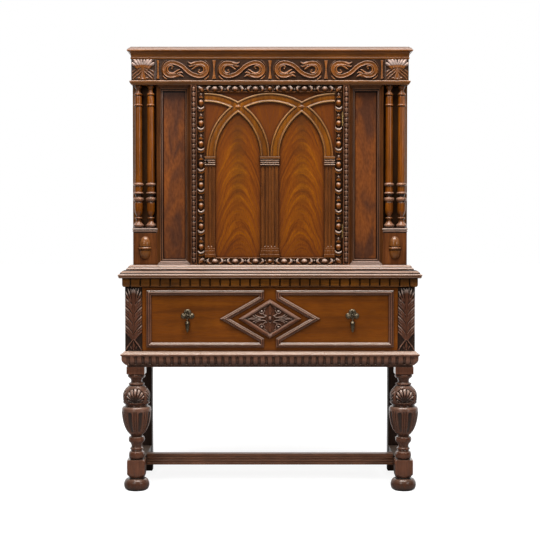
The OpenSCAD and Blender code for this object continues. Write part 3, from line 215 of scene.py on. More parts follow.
def stained_wood(name, dark, mid, light, grain="Z", figure=70, hollow_shade=0.8, rub_and_highlight=0.25, sheen=0.32,
                 soften=1.2, pores=0.5, shade_reach=12, ground=0.0, contrast=1.0, top_light=0.3, coat=0.38,
                 top_light_tint=(0.38, 0.27, 0.205), highlight=(0.5, 0.39, 0.33)):
    """Stained and polished wood: figure along the grain and open pores, with light and shade
    painted into the colour: painted shade in the hollows, a painted top light that pales what
    looks up and, where the edge setting is over 0, edges paled partly as wear from polishing
    and partly as painted highlight. The other settings give how dark the painted shade on the
    sunk ground of a carving is, the colour of the painted highlight on its crests, and the
    colour of the painted top light."""
    material, tree, place = blank(name)
    facing = add(tree, "ShaderNodeNewGeometry")
    if grain == "X":
        # on the ends of the cabinet the grain follows the side lengths of the mouldings
        x, y, z = add(tree, "ShaderNodeSeparateXYZ", {0: place}).outputs
        way = add(tree, "ShaderNodeSeparateXYZ", {0: facing.outputs["True Normal"]})
        on_end = sums(tree, "GREATER_THAN", sums(tree, "ABSOLUTE", way.outputs[0]), 0.6)
        place = add(tree, "ShaderNodeMix", {"Factor": on_end, 4: place, 5: vector(tree, y, x, z)},
                    data_type="VECTOR").outputs[1]
    along = {"X": (0.055, 1, 1), "Y": (1, 0.055, 1), "Z": (1, 1, 0.055)}[grain]
    run = add(tree, "ShaderNodeMapping", {"Vector": place, "Scale": along}).outputs[0]
    growth = noise(tree, run, figure, 7, Roughness=0.62, Distortion=0.5)
    cloud = noise(tree, place, 9, 3)
    fine = tuple(0.5 * v if v < 1 else v for v in along)
    pore_run = add(tree, "ShaderNodeMapping", {"Vector": place, "Scale": fine}).outputs[0]
    pore_dark = ramp(tree, noise(tree, pore_run, 900, 2), (0.34, (0, 0, 0)), (0.5, (1, 1, 1)))
    if contrast != 1:
        dark = tuple(m + (d - m) * contrast for d, m in zip(dark, mid))
        light = tuple(m + (v - m) * contrast for v, m in zip(light, mid))
    colour = ramp(tree, growth, (0.3, dark), (0.5, mid), (0.72, light))
    shade = span(tree, cloud, 0.3, 0.7, 0.78, 1.2)
    grey = add(tree, "ShaderNodeCombineColor", {0: shade, 1: shade, 2: shade}).outputs[0]
    colour = blend_of(tree, 1, colour, grey, "MULTIPLY")
    pitted = sums(tree, "MULTIPLY", sums(tree, "SUBTRACT", 1, pore_dark), pores)
    colour = blend_of(tree, pitted, colour, scaled(dark, 0.35))
    # painted shade: darker in the hollows, found by ambient occlusion
    deep = hollows(tree, shade_reach / 1000, 0.35, 0.92, hollow_shade)
    colour = blend_of(tree, deep, colour, scaled(dark, 0.12))
    # edges paled, partly as wear from polishing and partly as painted highlight
    if soften:
        rounded = add(tree, "ShaderNodeBevel", {"Radius": soften / 1000}, samples=5).outputs[0]
        turned = add(tree, "ShaderNodeVectorMath", {0: rounded, 1: facing.outputs["True Normal"]},
                     operation="DOT_PRODUCT").outputs["Value"]
        edge = span(tree, turned, 0.99, 0.8, 0, rub_and_highlight)
    elif rub_and_highlight:
        edge = span(tree, facing.outputs["Pointiness"], 0.505, 0.58, 0, rub_and_highlight)
    if rub_and_highlight:
        open_edge = sums(tree, "MULTIPLY", edge, sums(tree, "SUBTRACT", 1, deep))
        colour = blend_of(tree, open_edge, colour, scaled(light, 1.9, 0.02))
    # painted shade: the sunk ground of a carving darkens with its recess
    if ground:
        sunk = add(tree, "ShaderNodeAttribute", attribute_name="recess").outputs["Fac"]
        sunk = span(tree, sunk, 0.25, 0.85, 0, ground)
        colour = blend_of(tree, sunk, colour, (0.016, 0.009, 0.007))
        # painted highlight: crests pale towards the highlight colour
        pale = add(tree, "ShaderNodeAttribute", attribute_name="worn").outputs["Fac"]
        pale = sums(tree, "MULTIPLY", pale, span(tree, cloud, 0.3, 0.7, 0.6, 1.0), clamp=True)
        colour = blend_of(tree, pale, colour, highlight)
    # painted top light: what looks up is paled, except on sunk ground
    shown = rounded if soften else facing.outputs["Normal"]
    up = add(tree, "ShaderNodeSeparateXYZ", {0: shown}).outputs[2]
    top_light_mask = span(tree, up, 0.15, 0.8, 0, top_light)
    if ground:
        top_light_mask = sums(tree, "MULTIPLY", top_light_mask, sums(tree, "SUBTRACT", 1, sunk, clamp=True))
    colour = blend_of(tree, top_light_mask, colour, top_light_tint)
    rough = span(tree, growth, 0.3, 0.7, sheen + 0.1, sheen - 0.04)
    relief = sums(tree, "ADD", sums(tree, "MULTIPLY", pore_dark, 0.6), sums(tree, "MULTIPLY", growth, 0.5))
    surface = {"Height": relief, "Strength": 0.22, "Distance": 0.0006}
    if soften:
        surface["Normal"] = rounded
    normal = add(tree, "ShaderNodeBump", surface).outputs[0]
    polished(tree, {"Base Color": colour, "Roughness": rough, "Normal": normal, "Specular IOR Level": 0.18,
                    "Specular Tint": (1.0, 0.8, 0.62, 1.0), "Coat Weight": coat, "Coat Roughness": 0.15})
    return material


leg_walnut = stained_wood(
    "leg_walnut", (0.056, 0.018, 0.009), (0.108, 0.037, 0.018), (0.17, 0.06, 0.03), hollow_shade=0.97, rub_and_highlight=0.25,
    sheen=0.25, coat=0.45, soften=0, ground=0.9, contrast=0.7, shade_reach=16, top_light=0.22)

# the middle of a leg, its height and its largest radius
LEG_X, LEG_Y, LEG_H, LEG_R = 520, -178, 482, 57
# half the width of the block at the stretcher, and of the block at the top
BLOCK, TOP_BLOCK = 34, 35
CUP_LOW, CUP_TOP, CUP_RIM = 217, 326, 309
DOME_LOW, DOME_TOP = 337, 407
# a row is radius, height, and 1 where the leg is square
leg_rows = [
    (37, 0, 0), *marked(swell((38, 1.5), (34, 45), 13, 14)), (27, 46.5, 0), (27, 49.5, 0),
    (30.5, 50, 1), (33, 55, 1), (BLOCK + 9, 62, 1), (BLOCK + 14, 66, 1), (BLOCK + 14, 117, 1),
    (BLOCK + 10, 120, 1), (26, 120.2, 0), (26, 122.5, 0), *marked(swell((26.5, 123), (26.5, 150), 3.6, 10)),
    (23, 151, 0), (22.5, 154, 0), *marked(swell((21.5, 157), (21.5, 166), 3.6, 8)),
    *marked(swell((21, 168), (27, 186), -3, 8)), *marked(swell((27.5, 188), (27.5, 208), 3.6, 10)),
    (23.5, 209.5, 0), (23, 214, 0), (25, 216.5, 0),
    *marked(bow((26, CUP_LOW), (47, 236), (57, 276), (57, 313), 26)),
    *marked(swell((56.3, 315), (50, CUP_TOP), 2, 6)), (45, 327.5, 0), (44, 331, 0), (44, 335, 0),
    *marked(bow((47, DOME_LOW), (60, 344), (62, 381), (31, DOME_TOP), 26)), (27.5, 407.6, 0),
    *marked(swell((27.5, 409.5), (27.5, 418), 3.4, 6)), *marked(swell((24, 419.5), (30, 438), -5, 10)),
    *marked(swell((30.5, 440), (30.5, 452), 3.6, 8)), (28, 453, 0), (28, 453.9, 0), (49, 454, 1),
    (49, LEG_H, 1)]


def close_rows(rows):
    """The leg's rows with more of them where a length is turned, so that carving can be cut."""
    line = [rows[0]]
    for r, z, square in rows[1:]:
        r0, z0, s0 = line[-1]
        n = max(1, math.ceil(math.hypot(r - r0, z - z0) / 1.9)) if square == s0 == 0 else 1
        n = max(n, math.ceil(abs(z - z0) / 6))
        line += [(r0 + (r - r0) * k / n, z0 + (z - z0) * k / n, square) for k in range(1, n)]
        line.append((r, z, square))
    return np.array(line)


def leg(name, x):
    rows = close_rows(leg_rows)
    steps = 240
    a = np.arange(steps) * 2 * math.pi / steps
    flat = np.maximum(np.abs(np.sin(a)), np.abs(np.cos(a)))
    r, z, square = rows[:, 0:1], rows[:, 1:2], rows[:, 2:3]
    # a block is the turned radius, cut off at its four flat sides
    side = np.where(z > DOME_TOP, TOP_BLOCK, BLOCK)
    radii = np.where(square > 0, np.minimum(r, side / flat), np.repeat(r, steps, 1))
    # the cup: eight wide flutes with round ends, and between them two narrow grooves
    part = (a + math.pi / 8) % (math.pi / 4) - math.pi / 8
    high = np.clip((z - CUP_LOW) / (CUP_TOP - CUP_LOW), 0, 1)
    inside = (z > CUP_LOW) & (z < CUP_TOP)
    off_flute = np.abs(np.abs(part) - math.pi / 8)
    ends = tread(z, CUP_LOW + 8, CUP_LOW + 16) * (1 - tread(z, CUP_RIM - 3, CUP_RIM))
    width = math.radians(9.8) * np.sqrt(np.clip(1 - ((z - 298) / 11) ** 2 * (z > 298), 0, 1))
    wide = arched(off_flute / np.maximum(width, 1e-4))
    narrow = soft(np.abs(part) - math.radians(4.3), math.radians(1.5))
    rim = 1 - tread(z, CUP_RIM, CUP_RIM + 3)
    cut = 6.2 * wide * ends + 3.6 * narrow * tread(z, CUP_LOW + 6, CUP_LOW + 12) * rim
    radii = radii - np.where(inside, cut * (0.45 + 0.55 * high), 0)
    # the cover: a palmette on each side, its fingers spread round a point over the lower edge
    quarter = (a + math.pi / 4) % (math.pi / 2) - math.pi / 4
    rise = np.concatenate([[0], np.cumsum(np.hypot(np.diff(rows[:, 0]), np.diff(rows[:, 1])))])
    up = (rise - np.interp(DOME_LOW + 4, rows[:, 1], rise))[:, None]
    across = quarter * 55 * np.clip(1.08 - 0.004 * up, 0.6, 1)
    reach, shell_r = np.hypot(across, up - 26), 37.5
    root = np.hypot(across, up - 3)
    turn = np.degrees(np.arctan2(across, up - 3))
    share = turn / 18.9
    share = share - np.round(share)
    shell = (np.abs(turn) < 85) & (reach < shell_r)
    grow = 2.0 + 3.6 * tread(root, 16, 48)
    tips = arched(share / 0.44) * grow * (1 - tread(reach, shell_r - 2.5, shell_r)) * tread(root, 3, 9)
    smooth = 5.0 - 1.5 * soft(reach - 41, 1.2) - 1.2 * soft(reach - 45, 1.0)
    leaf = np.where(shell, tips, smooth)
    band = (z > DOME_LOW) & (z < DOME_TOP)
    edge_fade = tread(z, DOME_LOW, DOME_LOW + 4) * (1 - tread(z, DOME_TOP - 6, DOME_TOP))
    sink = np.where(band, 1.15 * edge_fade * (5.0 - np.minimum(leaf, 5.0)), 0)
    radii = np.minimum(radii - sink, np.where(square > 0, 90, LEG_R))
    # painted shade in the flutes and reeds of the cup and in the carving of the cover
    recess = np.where(inside, cut * (0.55 + 0.45 * high) / 5.4, 0) + 1.1 * sink / 4.6
    # painted highlight on the fingers of the palmettes and on the rim of the cup
    worn = np.where(band & shell, 0.3 * tread(tips, 2.2, 4.6) * tread(root, 22, 44) * tread(up, 14, 44), 0)
    worn = worn + np.where(inside, 0.07 * tread(z, 300, 311) * (cut < 1), 0)
    # painted shade in the necks, under the rings and round the foot
    full = np.convolve(np.pad(r[:, 0], 6, "edge"), np.full(13, 1 / 13), "valid")[:, None]
    recess = np.maximum(recess, np.where(square == 0, np.clip((full - r - 0.8) / 3.5, 0, 0.9), 0))
    recess = np.maximum(recess, np.where(z < 46, 0.5, 0))
    return turning(name, radii, rows[:, 1], (x, LEG_Y, 0), np.clip(recess, 0, 1), worn)


for side, body in ((-1, "left"), (1, "right")):
    made = leg(f"turned_leg_{body}", side * LEG_X)
    made.data.materials.append(leg_walnut)
    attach(made, "carcass")
    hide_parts(f"front_leg_{body}")


# Rear legs and stretchers. Plain squared walnut behind, and an H of three stretchers tenoned
# into the blocks, the long one moulded on its front edge.

def finish_nodes(material, *names):
    """Gives CAD nodes their material."""
    for name in names:
        mesh = node[name].data
        mesh.materials.clear()
        mesh.materials.append(material)
        for face in mesh.polygons:
            face.material_index = 0


# darker walnut for the rear legs and side stretchers: painted shade, for they stand behind and under the case
shaded_walnut = stained_wood(
    "shaded_walnut", (0.011, 0.005, 0.0035), (0.02, 0.0088, 0.0062), (0.038, 0.016, 0.0095),
    sheen=0.5, rub_and_highlight=0.1, coat=0.12)
rail_walnut = stained_wood(
    "rail_walnut", (0.125, 0.048, 0.023), (0.215, 0.085, 0.044), (0.305, 0.125, 0.064),
    grain="X", contrast=0.7, hollow_shade=0.6)
finish_nodes(shaded_walnut, "rear_leg_left", "rear_leg_right", "side_stretchers")
finish_nodes(rail_walnut, "centre_stretcher")


# The stand's case. Walnut ends and rails, with plain unpolished wood where only the drawer
# sees it, glued and screwed between the legs.

def plain_wood(name, dark, light, grain):
    mid = tuple((a + b) / 2 for a, b in zip(dark, light))
    return stained_wood(name, dark, mid, light, grain, figure=45, hollow_shade=0.5, sheen=0.62, pores=0.25)


inside_long, inside_deep = (
    plain_wood(f"inside_wood_{way}", (0.2, 0.11, 0.05), (0.4, 0.25, 0.13), grain)
    for way, grain in (("long", "X"), ("deep", "Y")))
CASE_TONES = (0.055, 0.018, 0.006), (0.11, 0.034, 0.01), (0.17, 0.054, 0.016)
case_walnut = stained_wood("case_walnut", *CASE_TONES)
case_walnut_long = stained_wood("case_walnut_long", *CASE_TONES, grain="X")
finish_nodes(case_walnut, "stand_sides")
finish_nodes(inside_long, "stand_back", "stand_bottom", "top_rails", "drawer_back", "drawer_bottom")
finish_nodes(inside_deep, "drawer_runners", "drawer_kickers", "drawer_sides")
finish_nodes(case_walnut_long, "drawer_rail")


# Carved posts. Two walnut stiles at the stand's front corners, each carved with a tall leaf:
# a stem that widens upwards, six lobes on each side, and a pointed arch at its foot.

def grid(x0, x1, z0, z1, step):
    """Points over a rectangle, none further apart than step."""
    nx, nz = math.ceil((x1 - x0) / step), math.ceil((z1 - z0) / step)
    return np.meshgrid(np.linspace(x0, x1, nx + 1), np.linspace(z0, z1, nz + 1))


def board(name, x, z, relief, face, back, crease=60, full=6.0, worn=None):
    """A board from back to face whose front, seen along +Y, stands out by relief(x, z) over a
    grid of points. What stands out by full or more is the face of the carving."""
    out = relief(x, z)
    rows, w = x.shape
    front = np.stack([x, face - out, z], 2).reshape(-1, 3)
    rim = list(range(w)) + [w * j + w - 1 for j in range(1, rows)]
    rim += [w * (rows - 1) + i for i in range(w - 2, -1, -1)] + [w * j for j in range(rows - 2, 0, -1)]
    behind = front[rim].copy()
    behind[:, 1] = back
    first, n = len(front), len(rim)
    faces = [(j * w + i, j * w + i + 1, (j + 1) * w + i + 1, (j + 1) * w + i)
             for j in range(rows - 1) for i in range(w - 1)]
    faces += [(rim[k], first + k, first + (k + 1) % n, rim[(k + 1) % n]) for k in range(n)]
    faces.append(tuple(range(first, first + n)))
    highlight = worn(x, z, out) if worn else np.zeros(x.shape)
    out, highlight = (np.append(amount, amount.ravel()[rim]) for amount in (out, highlight))
    return piece(name, np.concatenate([front, behind]), faces, crease, 1 - np.clip(out / full, 0, 1), highlight)


def carved(name, x0, x1, z0, z1, step, *cut, **more):
    """A rectangular board. cut and more are what board takes from relief onwards."""
    return board(name, *grid(x0, x1, z0, z1, step), *cut, **more)


def spaced(outline, step):
    """The same line of points with none further apart than step."""
    line = [np.array(outline[0], float)]
    for q in outline[1:]:
        q = np.array(q, float)
        n = max(1, math.ceil(np.linalg.norm(q - line[-1]) / step))
        line += [line[-1] + (q - line[-1]) * k / n for k in range(1, n + 1)]
    return np.array(line)


def line_field(x, z, line):
    """For each point: its distance to a line of points, the length run along it, and its side."""
    best, run, hand = np.full(x.shape, 1e9), np.zeros(x.shape), np.ones(x.shape)
    done = 0.0
    for (ax, az), (bx, bz) in zip(line[:-1], line[1:]):
        ux, uz = bx - ax, bz - az
        size = math.hypot(ux, uz)
        if size < 1e-6:
            continue
        t = np.clip(((x - ax) * ux + (z - az) * uz) / size ** 2, 0, 1)
        gap = np.hypot(x - ax - t * ux, z - az - t * uz)
        near = gap < best
        best = np.where(near, gap, best)
        run = np.where(near, done + t * size, run)
        hand = np.where(near, np.sign(ux * (z - az) - uz * (x - ax)), hand)
        done += size
    return best, run, hand, done


def lobe(x, z, line, wide, tall, grooved, tip=0.35, root=0.5, lift=0.35):
    """A leaf lobe along a line: rounded, lifted at its tip, and cut along its length where
    grooved."""
    gap, run, hand, whole = line_field(x, z, line)
    t = np.clip(run / whole, 0, 1)
    half = wide * (root + (1 - root) * tread(t, 0, 0.45)) * np.sqrt(np.clip((1 - t) / tip, 0, 1))
    height = tall * arched(gap / np.maximum(half, 0.05)) * (0.75 + lift * t)
    if grooved:
        height -= 0.24 * tall * np.exp(-(((hand * gap / np.maximum(half, 0.3)) ** 2) / 0.035)) * (t < 0.93)
    return np.where(gap < half, height, 0)


def pearl(x, z, square, tall):
    """A half ball at the origin. square is the square of its radius."""
    return tall * np.sqrt(np.clip(1 - (x ** 2 + z ** 2) / square, 0, 1))


POST_W, POST_H, POST_Z0 = 66, 248, 544
# places across and up, of the five tips at the head
POST_TIPS = (((0, 204), (0, 226), (0, 245)), ((4, 200), (7.5, 224), (10.5, 245)),
             ((8, 194), (15, 220), (20.5, 243)), ((12, 186), (21.5, 209), (30, 231)),
             ((15, 176), (24, 193), (32, 209)))


def post_lobes(side, high):
    """Which lobe of the leaf a point lies on, and how far up that lobe, from 0 to 1."""
    rise = 46 * (np.clip(side, 0, 40) / 32) ** 0.62
    step = (high - 22 - rise) / 35.5
    return np.floor(step), step - np.floor(step)


def post_leaf(x, z):
    """The relief of one post about its own middle line, over its sunk ground."""
    side, high = np.abs(x), z - POST_Z0
    which, share = post_lobes(side, high)
    spread = np.clip(side / 30, 0, 1)
    # each lobe climbs to its upper edge, is parted from the next by a sharp groove, and is
    # cut by two veins towards its end
    lobes = 4.0 + 0.8 * spread + 1.9 * share ** 1.5
    lobes = lobes - 4.4 * soft(np.minimum(share, 1 - share), 0.05 + 0.03 * spread)
    for vein in (0.34, 0.67):
        lobes = lobes - 2.2 * soft(share - vein, 0.06) * tread(spread, 0.35, 0.75)
    out = np.where(which >= 0, lobes, 0)
    # the foot: a pointed arch with a small leaf and a bead in it
    arch = spaced(bow((30, 0), (28, 14), (9, 32), (0, 48), 16), 3)
    gap, _, _, _ = line_field(side, high, arch)
    below = high < np.interp(side, arch[::-1, 0], arch[::-1, 1])
    out = np.where(below, 0.8, out)
    out = np.maximum(out, 5.6 * arched(gap / 2.6))
    out = np.maximum(out, lobe(side, high, [(0, 9), (0, 20), (0, 36)], 6.5, 5.4, True, 0.7))
    out = np.maximum(out, lobe(side, high, [(6, 5), (10, 12), (13.5, 20)], 3.6, 4.0, False, 0.6))
    out = np.maximum(out, pearl(side, high - 4.5, 10, 5))
    # the tips at the head
    crown = high > 196 + 0.6 * side
    tips = np.zeros(x.shape)
    for line in POST_TIPS:
        tips = np.maximum(tips, lobe(side, high, line, 3.9, 7.4, False, 0.3, 0.45, 0.3))
    out = np.where(crown, np.where(tips > 0, tips, 0.8), np.maximum(out, tips * (high > 190)))
    # the stem, which widens upwards
    v = np.clip(high / POST_H, 0, 1)
    half = 1.8 + 8.2 * v ** 1.6
    stem = (5.0 + 1.4 * v) * arched(side / half) ** 0.5
    stem = stem - 1.5 * soft(side, 1.2) - 1.1 * soft(side - 0.58 * half, 0.8) * (v > 0.4)
    out = np.where((high > 44) & (high < 238) & (side < half), stem, out)
    edge = tread(POST_W / 2 - side, 0.2, 1.6) * tread(high, 0.5, 3) * tread(POST_H - high, 0.3, 2)
    return np.clip(1.12 * out, 0, 8.6) * edge


# painted highlight on the upper edges of the lobes and on the tips at the head
def post_worn(x, z, out):
    side, high = np.abs(x), z - POST_Z0
    _, share = post_lobes(side, high)
    upper_edge = tread(share, 0.66, 0.84) * tread(side, 14, 27) * tread(out, 3.5, 6) * 0.5
    crown = tread(high + 0.5 * side, 222, 240) * tread(out, 4.0, 6.5)
    return np.clip(0.8 * upper_edge * (high < 200) + 0.9 * crown, 0, 1)


carved_walnut = stained_wood(
    "carved_walnut", (0.045, 0.016, 0.009), (0.1, 0.034, 0.017), (0.16, 0.056, 0.028), hollow_shade=0.93,
    rub_and_highlight=0.35, soften=0, figure=90, ground=0.9, contrast=0.7)
post_boxes = {side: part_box(f"carved_post_{side}") for side in ("left", "right")}
for side, (low, high) in post_boxes.items():
    middle = (low[0] + high[0]) * 500
    made = carved(f"leaf_post_{side}", low[0] * 1000, high[0] * 1000, low[2] * 1000, high[2] * 1000, 1.05,
                  lambda x, z: post_leaf(x - middle, z), low[1] * 1000 + 8.7, high[1] * 1000,
                  worn=lambda x, z, out: post_worn(x - middle, z, out))
    made.data.materials.append(carved_walnut)
    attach(made, "carcass")
    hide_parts(f"carved_post_{side}")


# Nulled moulding. A walnut moulding under the drawer, round the front and both ends, cut with a
# row of arched tongues between hollow channels, mitred at the corners and glued to the rail.

def row_tree():
    """A geometry tree that sets copies of one unit in a straight row."""
    tree = bpy.data.node_groups.new("row_of_units", "GeometryNodeTree")
    face = tree.interface
    face.new_socket("Geometry", in_out="OUTPUT", socket_type="NodeSocketGeometry")
    kinds = {"Unit": "Object", "Count": "Int", "Pitch": "Float", "Start": "Vector", "Heading": "Vector",
             "Turn": "Vector", "Finish": "Material"}
    names = {label: face.new_socket(label, in_out="INPUT", socket_type=f"NodeSocket{kind}").identifier
             for label, kind in kinds.items()}
    given = tree.nodes.new("NodeGroupInput").outputs
    step = add(tree, "ShaderNodeVectorMath", {0: given["Heading"], "Scale": given["Pitch"]},
               operation="SCALE").outputs[0]
    line = add(tree, "GeometryNodeMeshLine", {"Count": given["Count"], "Start Location": given["Start"],
                                              "Offset": step}).outputs[0]
    unit = add(tree, "GeometryNodeObjectInfo", {"Object": given["Unit"]}).outputs["Geometry"]
    turn = add(tree, "FunctionNodeEulerToRotation", {0: given["Turn"]}).outputs[0]
    row = add(tree, "GeometryNodeInstanceOnPoints", {"Points": line, "Instance": unit, "Rotation": turn})
    real = add(tree, "GeometryNodeRealizeInstances", {0: row.outputs[0]}).outputs[0]
    done = add(tree, "GeometryNodeSetMaterial", {"Geometry": real, "Material": given["Finish"]}).outputs[0]
    tree.links.new(done, tree.nodes.new("NodeGroupOutput").inputs[0])
    return tree, names


UNIT_ROW, ROW_INPUTS = row_tree()


def row(unit, count, pitch, start, finish, heading=(1, 0, 0), turn=0.0):
    """The plain mesh of a row of units. Lengths are in millimetres."""
    host = bpy.data.objects.new("row", bpy.data.meshes.new("row"))
    bpy.context.scene.collection.objects.link(host)
    made = host.modifiers.new("row", "NODES")
    made.node_group = UNIT_ROW
    values = {"Unit": unit, "Count": count, "Pitch": pitch / 1000, "Start": [v / 1000 for v in start],
              "Heading": [float(v) for v in heading], "Turn": [0.0, 0.0, math.radians(turn)],
              "Finish": finish}
    for label, value in values.items():
        made[ROW_INPUTS[label]] = value
    depsgraph = bpy.context.evaluated_depsgraph_get()
    mesh = bpy.data.meshes.new_from_object(host.evaluated_get(depsgraph), depsgraph=depsgraph)
    bpy.data.objects.remove(host)
    return mesh


def drop(*objects):
    for spent in objects:
        bpy.data.objects.remove(spent)


def joined(name, parts, finish, crease=50):
    """One piece from several parts: plain meshes, or objects that are used up in it."""
    points, faces, carving = [], [], {"recess": [], "worn": []}
    objects = [part for part in parts if isinstance(part, bpy.types.Object)]
    for part in parts:
        mesh = part.data if part in objects else part
        first = len(points)
        points += [tuple(1000 * v for v in vertex.co) for vertex in mesh.vertices]
        faces += [tuple(first + k for k in face.vertices) for face in mesh.polygons]
        for label, amounts in carving.items():
            layer = mesh.attributes.get(label)
            amounts += [entry.value for entry in layer.data] if layer else [0.0] * len(mesh.vertices)
    made = piece(name, points, faces, crease, **carving)
    made.data.materials.append(finish)
    drop(*objects)
    return made


NULL_Z, NULL_H, NULL_HALF = 482, 62, 14
# the places of the moulding's ground at the ends and at the front
END_X, FRONT_Y = 560, 216
null_profile = [
    (-7, 0), (-7, 7.5), (-3, 8), (0, 11), (6, 17), (10.5, 24), (12, 31), (12, 43), (14, 44.6),
    (15.6, 46.2), (16.6, 48.8), (15.6, 51.4), (11, 53.2), (9, 55.6), (6, 58.5), (3.4, 60.4), (2, 61.9)]


def null_relief(x, z):
    """One tongue and a half channel on each side of it."""
    high = z - NULL_Z
    out = np.interp(high, [p[1] for p in null_profile], [p[0] for p in null_profile])
    off = NULL_HALF - np.abs(x)
    wide = 6.6 * arched(np.clip(high - 36, 0, 99) / 6.6)
    hollow = arched(off / np.maximum(wide, 0.05)) * (wide > 0.1)
    bound = (high > 8) & (high < 43)
    round_edge = 1.6 * tread(np.abs(x), 4.5, 7.4)
    return out - np.where(bound, 7.5 * hollow + round_edge * (off > wide), 0) * tread(high, 8, 13)


moulding_walnut = stained_wood(
    "moulding_walnut", (0.09, 0.037, 0.022), (0.175, 0.075, 0.045), (0.25, 0.112, 0.068), grain="X",
    hollow_shade=0.8, rub_and_highlight=0.4, soften=0, ground=0.56, contrast=0.6, top_light=0.68)
null_unit = carved("null_unit", -NULL_HALF, NULL_HALF, NULL_Z + 0.05, NULL_Z + NULL_H - 0.05, 1.3,
                   null_relief, 0, 24, full=11)


def null_corner(side):
    """The mitred corner, with half a tongue on each face."""
    s = np.linspace(-NULL_HALF, NULL_HALF, 29)[None, :]
    z = np.linspace(NULL_Z + 0.05, NULL_Z + NULL_H - 0.05, 62)[:, None]
    out = null_relief(np.abs(s) + 0 * z, z + 0 * s)
    share = np.abs(s) / NULL_HALF
    back_x, back_y = END_X - NULL_HALF, FRONT_Y - NULL_HALF
    x = np.where(s < 0, -(END_X + out) * (1 - share) - back_x * share, -END_X - out)
    y = np.where(s > 0, -(FRONT_Y + out) * (1 - share) - back_y * share, -FRONT_Y - out)
    grid_points = np.stack([x, y, z + 0 * s], 2)
    rows, cols = x.shape[0], x.shape[1] + 1
    inner = np.stack([np.full(rows, -float(back_x)), np.full(rows, -float(back_y)), z[:, 0]], 1)
    points = np.concatenate([grid_points, inner[:, None, :]], 1).reshape(-1, 3) * (-side, 1, 1)
    faces = wrapped(rows, cols)
    for j in (0, rows - 1):
        faces += [(j * cols + cols - 1, j * cols + i, j * cols + i + 1) for i in range(cols - 2)]
    return piece("null_corner", points, faces, 50)


runs = [row(null_unit, 39, 2 * NULL_HALF, (2 * NULL_HALF - END_X, -FRONT_Y, 0), moulding_walnut)]
runs += [row(null_unit, 16, 27.6, (s * END_X, 2 * NULL_HALF - FRONT_Y, 0), moulding_walnut, (0, 1, 0), 90 * s)
         for s in (-1, 1)]
nulled = joined("nulled_tongues", runs + [null_corner(side) for side in (-1, 1)], moulding_walnut)
drop(null_unit)
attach(nulled, "carcass")
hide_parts("nulled_moulding")


# Stand top and dentils. A moulded walnut top over a band of dentils, each sawn apart by hand,
# with the long grain running from end to end.

def lofted(name, loops, crease, closed=False):
    """A mesh through outlines of equally many corners. A loop is its corners, its recess, which
    sets painted shade, and its painted highlight.
    The first and last outline are filled, or closed joins them into a ring."""
    corners, recess, worn = zip(*loops)
    n = len(corners[0])
    faces = wrapped(len(loops), n, closed)
    if not closed:
        last = n * (len(loops) - 1)
        faces += [tuple(range(n - 1, -1, -1)), tuple(range(last, last + n))]
    return piece(name, np.concatenate(corners), faces, crease, np.repeat(recess, n), np.repeat(worn, n))


def stack(name, x0, x1, y1, rows):
    """A block whose outline is drawn in or out at each height. A row is (dx, y, z, recess,
    painted highlight): how far its ends are drawn in, the place of its front, its height, its
    painted shade and its painted highlight."""
    return lofted(name, [([(x0 + dx, y, z), (x1 - dx, y, z), (x1 - dx, y1, z), (x0 + dx, y1, z)], sunk, highlight)
                         for dx, y, z, sunk, highlight in rows], 30)


DENTIL, DENTIL_Z, DENTIL_H = 38.4, 792, 34
# the rear of the stand's top and of the blocks under it
REAR_Y = 239.9
# the saw cuts are sunk, and their recess paints shade in the gaps
dentil_walnut = stained_wood(
    "dentil_walnut", (0.08, 0.026, 0.003), (0.15, 0.048, 0.004), (0.21, 0.07, 0.006), grain="X",
    hollow_shade=0.7, soften=0, rub_and_highlight=0, ground=0.97, coat=0.25)


def dentil_relief(x, z):
    """One block with half a saw cut on each side of it and a rounded foot."""
    high = z - DENTIL_Z
    block = np.interp(high, [0, 1, 3, 6, 8, DENTIL_H], [2.6, 4.6, 7, 8.6, 9, 9])
    return np.where((np.abs(x) > 16.9) & (high > 4.5) & (high < 32.5), 2.6, block)


dentil_unit = carved("dentil_unit", -DENTIL / 2, DENTIL / 2, DENTIL_Z + 0.1, DENTIL_Z + DENTIL_H - 0.1, 1.6,
                     dentil_relief, 0, 0.6, 40, 8.2)
parts = [row(dentil_unit, 28, DENTIL, (-13.5 * DENTIL, -FRONT_Y, 0), dentil_walnut)]
parts += [row(dentil_unit, 11, DENTIL, (s * END_X, DENTIL - FRONT_Y, 0), dentil_walnut, (0, 1, 0), 90 * s)
          for s in (-1, 1)]
# the backing behind the dentils is wholly in painted shade, and the feet of the end blocks partly
parts.append(stack("backing", -561.8, 561.8, REAR_Y,
                   [(0, -217.8, z, 1, 0) for z in (DENTIL_Z + 0.1, DENTIL_Z + DENTIL_H - 0.1)]))
foot = [(6, 792.1, 0.9), (4, 793.2, 0.5), (1.6, 795.4, 0.2), (0, 800, 0), (0, 825.9, 0)]
for s in (-1, 1):
    x0, x1 = sorted((s * 540, s * 569))
    parts.append(stack("corner_dentil", x0, x1, -199.2, [(dx, dx - 225, z, sunk, 0) for dx, z, sunk in foot]))
    parts.append(stack("rear_dentil", x0, x1, REAR_Y, [(dx, 228, z, sunk, 0) for dx, z, sunk in foot]))
sawn = joined("sawn_dentils", parts, dentil_walnut, 40)
drop(dentil_unit)
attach(sawn, "carcass")
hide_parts("dentil_band")
ledge_walnut = stained_wood(
    "ledge_walnut", (0.1, 0.036, 0.012), (0.19, 0.07, 0.024), (0.26, 0.1, 0.036), grain="X", rub_and_highlight=0,
    soften=0, sheen=0.3, contrast=0.5, hollow_shade=0.6, shade_reach=8, top_light=0.45, ground=0.97,
    top_light_tint=(0.245, 0.185, 0.15))


